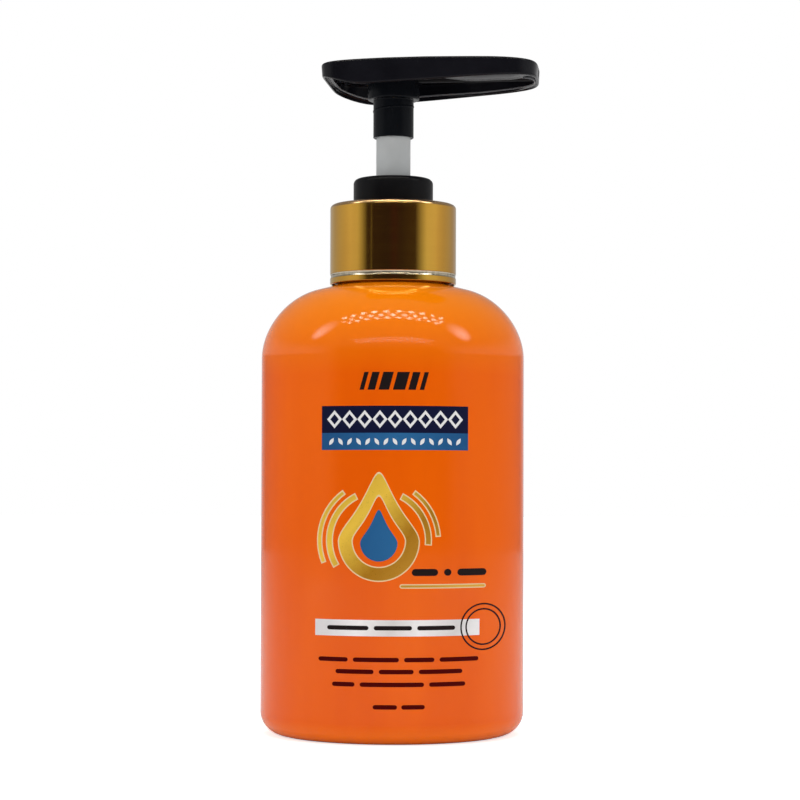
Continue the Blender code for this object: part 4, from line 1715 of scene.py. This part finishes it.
    def tray(self) -> BMesh:
        """Make the tray, closed over its top and its ceiling.

        Returns:
            Its mesh.
        """
        build, ends = self.lofted(self.rings())
        for loop in ends:
            bmesh.ops.contextual_create(build, geom=loop)
            self.strip_cap(build, {point for edge in loop for point in edge.verts})
        return self.leaned(build)

    @staticmethod
    def strip_cap(build: BMesh, rim: set[BMVert]) -> None:
        """Part a cap into strips from side to side, so that it may dip lengthwise.

        Args:
            build: the tray's mesh.
            rim: the points round the cap.
        """
        near = sorted((p for p in rim if p.co.y < -MERGE_DISTANCE), key=lambda p: p.co.x)
        far = sorted((p for p in rim if p.co.y > MERGE_DISTANCE), key=lambda p: p.co.x)
        for pair in zip(near, far):
            bmesh.ops.connect_verts(build, verts=list(pair))

    def rib(self) -> BMesh:
        """Make the fine rib that runs round the inside of the opening; its pale grey is a painted
        highlight line.

        Returns:
            Its mesh.
        """
        section = [(-out * MM, up * MM) for out, up in self.rib_section]
        build, ends = self.lofted([self.ring(x, self.rib_level, z, True) for x, z in section])
        bmesh.ops.bridge_loops(build, edges=[*ends[0], *ends[1]])
        return self.leaned(build)

    def lofted(self, rings: Sequence[Ring]) -> tuple[BMesh, tuple[list[BMEdge], list[BMEdge]]]:
        """Span a mesh over rings.

        Args:
            rings: the rings in order.

        Returns:
            The mesh, and its first and its last ring's edges.
        """
        build = bmesh.new()
        turns = build.verts.layers.float.new("turn")
        bmesh.ops.create_circle(build, cap_ends=False, segments=self.sides, radius=1)
        for point in build.verts:
            point[turns] = math.atan2(point.co.y, point.co.x)
            point.co = rings[0](point[turns])
        first = last = build.edges[:]
        for ring in rings[1:]:
            made = bmesh.ops.extrude_edge_only(build, edges=last)["geom"]
            points = set(points_of(made))
            for point in points:
                point.co = ring(point[turns])
            edges = (item for item in made if isinstance(item, BMEdge))
            last = [edge for edge in edges if all(v in points for v in edge.verts)]
        return build, (first, last)

    def leaned(self, build: BMesh) -> BMesh:
        """Lean a part of the tray a little towards the front, under the top's height."""
        rotated(build, Matrix.Rotation(-self.lean, 3, "X"), self.top)
        return tidied(moved(build, z=-(math.sin(self.lean) * self.width / 2)))

    def turn_head(self, build: BMesh) -> BMesh:
        """Turn a part of the head to the side that the nozzle points to."""
        return rotated(build, Matrix.Rotation(self.yaw, 3, "Z"))

    def laid(self, build: BMesh, x: float = 0) -> BMesh:
        """Lay an upright part level along the duct, and turn it with the head."""
        rotated(build, Matrix.Rotation(QUARTER_TURN, 3, "Y"))
        return self.turn_head(moved(build, x, z=self.duct_height))

    def duct(self) -> BMesh:
        """Make the duct's rib, a thick tube from the boss into the nozzle's wall.

        Returns:
            Its mesh.
        """
        inner, outer = self.duct_bore, self.duct_bore + self.duct_wall
        start, end = self.duct_start, self.length - self.rear_reach - self.duct_short
        profile = ((inner, start), (outer, start), (outer, end), (inner, end))
        return self.laid(turned(profile, self.duct_sides))

    def nozzle_hole(self) -> BMesh:
        """Make the drill that opens the nozzle in the tray's end.

        Returns:
            Its mesh.
        """
        build, bore = bmesh.new(), self.duct_bore
        bmesh.ops.create_cone(
            build, cap_ends=True, segments=self.duct_sides,
            radius1=bore, radius2=bore, depth=self.drill_length,
        )
        return self.laid(build, self.length - self.rear_reach)

    def boss(self) -> BMesh:
        """Make the boss and the sleeve, with the seat of the stem and the riser.

        Returns:
            Their mesh.
        """
        buried = self.top - self.plate + self.boss_sunk
        profile = (
            (self.riser_bore, buried),
            (self.boss_radius, buried),
            (self.boss_radius, self.boss_bottom, self.boss_rounding),
            (self.sleeve_radius, self.boss_bottom, self.sleeve_root_rounding),
            (self.sleeve_radius, self.sleeve_bottom, SMALL),
            (self.sleeve_bore, self.sleeve_bottom, self.sleeve_bore_rounding),
            (self.sleeve_bore, self.seat_top),
            (self.riser_bore, self.seat_top),
        )
        return turned(profile)

    def build(self) -> None:
        """Make the head's pieces."""
        root = self.sleeve_radius - self.thread_sunk
        thread = Thread(root, self.thread_crest, self.thread_bottom)
        for name, build, plastic, solids in (
            ("pump_head_tray", self.turn_head(self.tray()), self.plastic, ["pump_head"]),
            ("pump_head_boss", self.boss(), self.sleeve_plastic, []),
            ("pump_head_thread", self.turn_head(thread.mesh()), self.sleeve_plastic, []),
            ("pump_head_duct", self.duct(), self.matt_plastic, []),
            # The rib's pale grey is a painted highlight line.
            ("pump_head_rib", self.turn_head(self.rib()), self.painted_highlight_plastic, []),
        ):
            made = self.maker.piece(name, build, plastic, Body.PLUNGER, Slot.BLACK, solids)
            if solids:
                drill(made, moved(self.nozzle_hole(), self.maker.axis_x))


def drill(target: Object, cutter: BMesh) -> None:
    """Cut a hole through a piece.

    Args:
        target: the piece.
        cutter: the drill's mesh in its place, which is used up.
    """
    tool = added("drill", cutter)
    change = target.modifiers.new("hole", "BOOLEAN")
    change.operation = "DIFFERENCE"
    change.solver = "EXACT"
    change.object = tool
    bpy.context.view_layer.update()
    graph = bpy.context.evaluated_depsgraph_get()
    cut = bpy.data.meshes.new_from_object(target.evaluated_get(graph))
    target.modifiers.clear()
    target.data = cut
    bpy.data.objects.remove(tool)


# ---------------------------------------------------------------- studio


@dataclass(frozen=True)
class TentCloth:
    """The light tent's inside: dark in front, bright panels at the sides, a dim ceiling."""

    name: str = "light_tent"
    panels: Stops = (
        (-180.0, 0.50), (-134.0, 0.58), (-104.0, 0.80), (-84.0, 1.00), (-68.0, 0.90),
        (-48.0, (0.060, 0.043, 0.050)), (-36.0, (0.042, 0.028, 0.045)),
        (-8.0, (0.034, 0.022, 0.045)), (2.0, (0.052, 0.019, 0.045)),
        (12.0, (0.036, 0.021, 0.040)), (41.0, (0.065, 0.043, 0.045)),
        (64.0, 0.93), (84.0, 1.00), (104.0, 0.78), (134.0, 0.56), (180.0, 0.50),
    )
    skirting: Stops = (
        (-180.0, 1.00), (-160.0, 0.55), (-146.0, 0.20), (-120.0, 0.28), (-60.0, 0.34),
        (-46.0, 0.05), (0.0, 0.03), (46.0, 0.05),
        (60.0, 0.34), (120.0, 0.28), (146.0, 0.20), (160.0, 0.55), (180.0, 1.00),
    )
    ceiling: Colour = (0.31, 0.31, 0.31)
    skirting_heights: Point = (0.20, 0.235)
    panel_heights: Point = (0.37, 0.60)

    def material(self) -> Material:
        """Make the tent's cloth, its tones placed by azimuth in degrees.

        Returns:
            Its material.
        """
        graph = Graph(self.name)
        axes = graph.axes()
        azimuth = graph.math("ARCTAN2", axes["X"], graph.math("MULTIPLY", axes["Y"], -1.0))
        share = graph.spread(azimuth, (-math.pi, math.pi))
        low, high = (
            graph.ramp(share, [(turn / 360 + 0.5, tone) for turn, tone in tones])
            for tones in (self.skirting, self.panels)
        )
        sides = graph.blend(graph.spread(axes["Z"], self.skirting_heights), low, high)
        above = graph.spread(axes["Z"], self.panel_heights)
        return graph.glow(graph.blend(above, sides, self.ceiling), 1.0)


def direction(azimuth: float, elevation: float) -> Vector:
    """Turn an azimuth and an elevation into a direction.

    Args:
        azimuth: degrees from -Y to the right.
        elevation: degrees above level.

    Returns:
        The unit vector.
    """
    turn, rise = math.radians(azimuth), math.radians(elevation)
    level = math.cos(rise)
    return Vector((math.sin(turn) * level, -math.cos(turn) * level, math.sin(rise)))


def card(width: float, height: float) -> BMesh:
    """Make a flat card of the studio, level and round the origin.

    Args:
        width: its size along X.
        height: its size along Y.

    Returns:
        Its mesh.
    """
    build = bmesh.new()
    bmesh.ops.create_grid(build, x_segments=1, y_segments=1, size=0.5)
    bmesh.ops.scale(build, verts=build.verts, vec=(width, height, 1.0))
    return build


@dataclass
class Studio:
    """Camera, soft lamps, pale floor and the light tent that the gloss mirrors."""

    axis_x: float
    distance: float = 573 * MM
    eye_height: float = 60 * MM
    lens: float = 105.75
    sensor: float = 36.0
    tilt: float = math.radians(1.25)
    roll: float = math.radians(0.17)
    shift: Point = (0.0093, 0.0434)
    clip: Point = (0.05, 50.0)
    aim_height: float = 85 * MM
    ambient: float = 0.55
    floor_size: float = 8.0
    floor_tone: Colour = (0.92, 0.92, 0.92)
    floor_shine: float = 0.66
    tent_radius: float = 1.6
    tent_sides: int = 64
    ceiling_height: float = 0.6
    dot_colour: Colour = (1.0, 0.93, 0.80)
    dots: tuple[DotLamp, ...] = (
        (
            "near",
            ((0.160, 10, 0.072), (0.222, 11, 0.072), (0.273, 10, 0.075)), (0.0205, 0.023), 25.0,
        ),
        (
            "far",
            ((0.90, 18, 0.080), (1.02, 17, 0.080), (1.15, 18, 0.080)), (0.018, 0.030), 24.0,
        ),
    )
    strips: tuple[StripLamp, ...] = (
        ("left", (-0.38, -0.17), (-1.20, -0.28), 0.24, 8.0),
        ("right", (0.41, -0.20), (1.22, -0.42), 0.30, 9.0),
    )
    strip_core: float = 0.75
    slit_azimuth: float = -39.8
    slit_share: float = 0.95
    slit_width: float = 0.03
    slit_heights: Point = (0.2, 0.37)
    slit_strength: float = 0.30
    lamps: tuple[SoftLamp, ...] = (
        ("top", 0, 84, 1.0, (0.7, 0.7), 4.2),
        ("left", -60, 12, 0.9, (0.5, 0.9), 1.6),
        ("right", 60, 12, 0.9, (0.5, 0.9), 1.6),
    )

    def camera(self) -> None:
        """Set the camera where the photograph was taken from."""
        data = bpy.data.cameras.new("camera")
        data.lens, data.sensor_width = self.lens, self.sensor
        data.shift_x, data.shift_y = self.shift
        data.clip_start, data.clip_end = self.clip
        made = bpy.data.objects.new("camera", data)
        made.location = (self.axis_x, -self.distance, self.eye_height)
        upright = Matrix.Rotation(QUARTER_TURN + self.tilt, 3, "X")
        made.rotation_euler = (upright @ Matrix.Rotation(self.roll, 3, "Z")).to_euler()
        bpy.context.scene.collection.objects.link(made)
        bpy.context.scene.camera = made

    def world(self) -> None:
        """Make the surroundings white where they are seen and dimmer where they only light."""
        world = bpy.data.worlds.new("surroundings")
        bpy.context.scene.world = world
        nodes = bare_nodes(world)
        rays = nodes.node("LightPath").outputs
        seen = rays["Is Camera Ray"]
        for kind in ("Is Glossy Ray", "Is Transmission Ray"):
            seen = nodes.math("MAXIMUM", seen, rays[kind])
        strength = nodes.spread(seen, (0.0, 1.0), (self.ambient, 1.0))
        light = nodes.node("Background", {"Strength": strength, "Color": WHITE})
        nodes.node("OutputWorld", {"Surface": light.outputs["Background"]})

    def floor(self) -> None:
        """Add the pale floor, which looks white and keeps the bottle's soft shadow."""
        material = bpy.data.materials.new("pale_floor")
        nodes = bare_nodes(material)
        seen = nodes.node("LightPath").outputs["Is Camera Ray"]
        shine = nodes.math("MULTIPLY", seen, self.floor_shine)
        cloth = nodes.node("BsdfDiffuse", {"Color": self.floor_tone}).outputs["BSDF"]
        glow = nodes.node("Emission", {"Color": WHITE, "Strength": shine}).outputs["Emission"]
        both = nodes.node("AddShader", {0: cloth, 1: glow})
        nodes.node("OutputMaterial", {"Surface": both.outputs["Shader"]})
        self.staged("floor", card(self.floor_size, self.floor_size), material)

    @staticmethod
    def staged(name: str, build: BMesh, material: Material) -> Object:
        """Add an object of the studio, which isn't part of the bottle.

        Args:
            name: its name.
            build: its mesh.
            material: its material.

        Returns:
            The object.
        """
        made = added(name, build, material)
        return made

    def mirrored_only(self, name: str, build: BMesh, material: Material) -> None:
        """Add an object of the studio that only reflections see.

        Args:
            name: its name.
            build: its mesh, placed as if the bottle stood at the origin.
            material: its material.
        """
        made = self.staged(name, moved(build, self.axis_x), material)
        for ray in ("camera", "diffuse", "shadow", "transmission"):
            setattr(made, "visible_" + ray, False)

    def tent(self) -> None:
        """Add the light tent, a dome over the bottle."""
        build = bmesh.new()
        bmesh.ops.create_uvsphere(
            build, u_segments=self.tent_sides, v_segments=self.tent_sides // 2,
            radius=self.tent_radius,
        )
        bmesh.ops.bisect_plane(
            build, geom=[*build.verts, *build.edges, *build.faces],
            plane_co=(0, 0, 0), plane_no=(0, 0, 1), clear_inner=True,
        )
        self.mirrored_only("light_tent", build, TentCloth().material())

    def slit(self) -> None:
        """Add the gap between the tent's front cloths, which the collar mirrors as a line."""
        low, high = self.slit_heights
        turn = Matrix.Rotation(math.radians(self.slit_azimuth), 3, "Z")
        upright = turn @ Matrix.Rotation(QUARTER_TURN, 3, "X")
        place = direction(self.slit_azimuth, 0) * (self.tent_radius * self.slit_share)
        slit = rotated(card(self.slit_width, high - low), upright)
        moved(slit, place.x, place.y, (low + high) / 2)
        self.mirrored_only("tent_slit", slit, Graph("tent_slit").glow(WHITE, self.slit_strength))

    def dot_lamp(self, side: str, rows: Sequence, size: Point, strength: float) -> None:
        """Add a ceiling lamp made of rows of small lozenges, for the shoulder to mirror.

        Args:
            side: the end of its name.
            rows: each row's distance in front of the bottle, its lozenges and their spacing.
            size: a lozenge's half width and half depth.
            strength: how brightly they shine.
        """
        build = bmesh.new()
        for distance, count, spacing in rows:
            for index in range(count):
                made = bmesh.ops.create_circle(build, cap_ends=True, segments=4, radius=1.0)
                points = made["verts"]
                bmesh.ops.scale(build, verts=points, vec=(*size, 1.0))
                place = (spacing * (index - (count - 1) / 2), -distance, self.ceiling_height)
                bmesh.ops.translate(build, verts=points, vec=place)
        name = "ceiling_lamp_" + side
        self.mirrored_only(name, build, Graph(name).glow(self.dot_colour, strength))

    def strip_lamp(
        self, side: str, start: Point, end: Point, width: float, strength: float
    ) -> None:
        """Add a soft ceiling lamp that fades from its middle to its oval edge.

        Args:
            side: the end of its name.
            start: one end of its middle line.
            end: the other end.
            width: how wide it is.
            strength: how brightly its middle shines.
        """
        run, middle = Vector(end) - Vector(start), (Vector(start) + Vector(end)) / 2
        turn = math.atan2(run.y, run.x)
        build = rotated(card(run.length, width), Matrix.Rotation(turn, 3, "Z"))
        moved(build, *middle, self.ceiling_height)
        graph = Graph("ceiling_strip_" + side)
        oval = {
            "Vector": graph.place,
            "Location": (middle.x + self.axis_x, middle.y, self.ceiling_height),
            "Rotation": (0.0, 0.0, turn),
            "Scale": (run.length / 2, width / 2, 1.0),
        }
        inside = graph.node("Mapping", oval, vector_type="TEXTURE").outputs["Vector"]
        fade = graph.node("TexGradient", {"Vector": inside}, gradient_type="SPHERICAL")
        edge = TentCloth.ceiling[0]
        shine = graph.spread(fade.outputs["Fac"], (0.0, self.strip_core), (edge, strength))
        self.mirrored_only(graph.material.name, build, graph.glow(WHITE, shine))

    def soft_lamp(
        self, side: str, azimuth: float, elevation: float, distance: float, size: Point,
        power: float,
    ) -> None:
        """Add a soft lamp that faces the bottle's middle and isn't mirrored.

        Args:
            side: the end of its name.
            azimuth: its direction in degrees from the camera's side, to the right.
            elevation: its height in degrees above the bottle's middle.
            distance: how far it is from the bottle's middle.
            size: its width and height.
            power: its power in watts.
        """
        data = bpy.data.lights.new("lamp_" + side, "AREA")
        data.shape = "RECTANGLE"
        data.size, data.size_y = size
        data.energy = power
        made = bpy.data.objects.new("lamp_" + side, data)
        away = direction(azimuth, elevation)
        made.location = Vector((self.axis_x, 0, self.aim_height)) + away * distance
        made.rotation_euler = away.to_track_quat("Z", "Y").to_euler()
        made.visible_camera = made.visible_glossy = False
        bpy.context.scene.collection.objects.link(made)

    def build(self) -> None:
        """Set up the whole studio."""
        self.camera()
        self.world()
        self.floor()
        self.tent()
        for row in self.dots:
            self.dot_lamp(*row)
        for row in self.strips:
            self.strip_lamp(*row)
        self.slit()
        for row in self.lamps:
            self.soft_lamp(*row)
        bpy.context.scene.view_settings.view_transform = "Standard"


# ---------------------------------------------------------------- the whole


def dress_solids(nodes: dict[str, Object], finishes: dict[str, Material]) -> None:
    """Give the solids that stay their own materials.

    Args:
        nodes: the frame's solids.
        finishes: a material for each of them by name.
    """
    for name, material in finishes.items():
        mesh = nodes[name].data
        mesh.materials.clear()
        mesh.materials.append(material)
        LOG.info("%s: solid kept, dressed in %s", name, material.name)


def plastics() -> list[Material]:
    """Make the moulded finishes.

    Returns:
        Their materials: natural, gloss, sleeve, matt, satin, painted highlight grey, rubber.
    """
    moulded = (
        MouldedPlastic(
            "natural_plastic", (0.53, 0.545, 0.545), (0.46, 0.475, 0.475), 0.34, translucency=0.25
        ),
        MouldedPlastic(
            "gloss_black_plastic", (0.008, 0.008, 0.011), (0.005, 0.005, 0.007), 0.13, 0.12,
            grain=420.0, grain_depth=0.004 * MM,
        ),
        MouldedPlastic(
            "sleeve_black_plastic", (0.006, 0.007, 0.009), (0.004, 0.005, 0.007), 0.20, 0.07
        ),
        MouldedPlastic(
            "matt_black_plastic", (0.008, 0.008, 0.009), (0.006, 0.006, 0.007), 0.55, 0.06
        ),
        MouldedPlastic(
            "satin_black_plastic", (0.006, 0.006, 0.007), (0.004, 0.004, 0.005), 0.30, 0.08
        ),
        # Pale grey for the head's inner rib, a painted highlight line along the tray's inner rim.
        MouldedPlastic(
            "rubbed_black_plastic", (0.24, 0.24, 0.25), (0.17, 0.17, 0.18), 0.35, 0.3
        ),
        MouldedPlastic("grey_rubber", (0.13, 0.13, 0.125), (0.10, 0.10, 0.097), 0.62),
    )
    return [finish.material() for finish in moulded]


def main() -> None:
    """Load the frame, build every piece and set up the studio."""
    logging.basicConfig(level=logging.INFO, format="%(name)s: %(message)s")
    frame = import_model()
    low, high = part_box("bottle")
    maker = Maker((low.x + high.x) / 2)

    natural, gloss, sleeve, matt, satin, painted_highlight, rubber = plastics()
    BottleBody(maker).build()
    Prints(maker).build()
    Collar(maker).build()
    LockRing(maker, satin).build()
    Stem(maker, natural).build()
    ReturnSpring(maker).build()
    PumpHead(maker, gloss, sleeve, matt, painted_highlight).build()
    kept = ("closure", "pump_housing", "dip_tube", "valve_rod", "piston_seal")
    finishes = {**dict.fromkeys(kept, natural), "gasket": rubber}
    finishes["check_ball"] = drawn_steel("ball_steel").material()
    dress_solids(frame["nodes"], finishes)
    Studio(maker.axis_x).build()


if __name__ == "__main__":
    main()
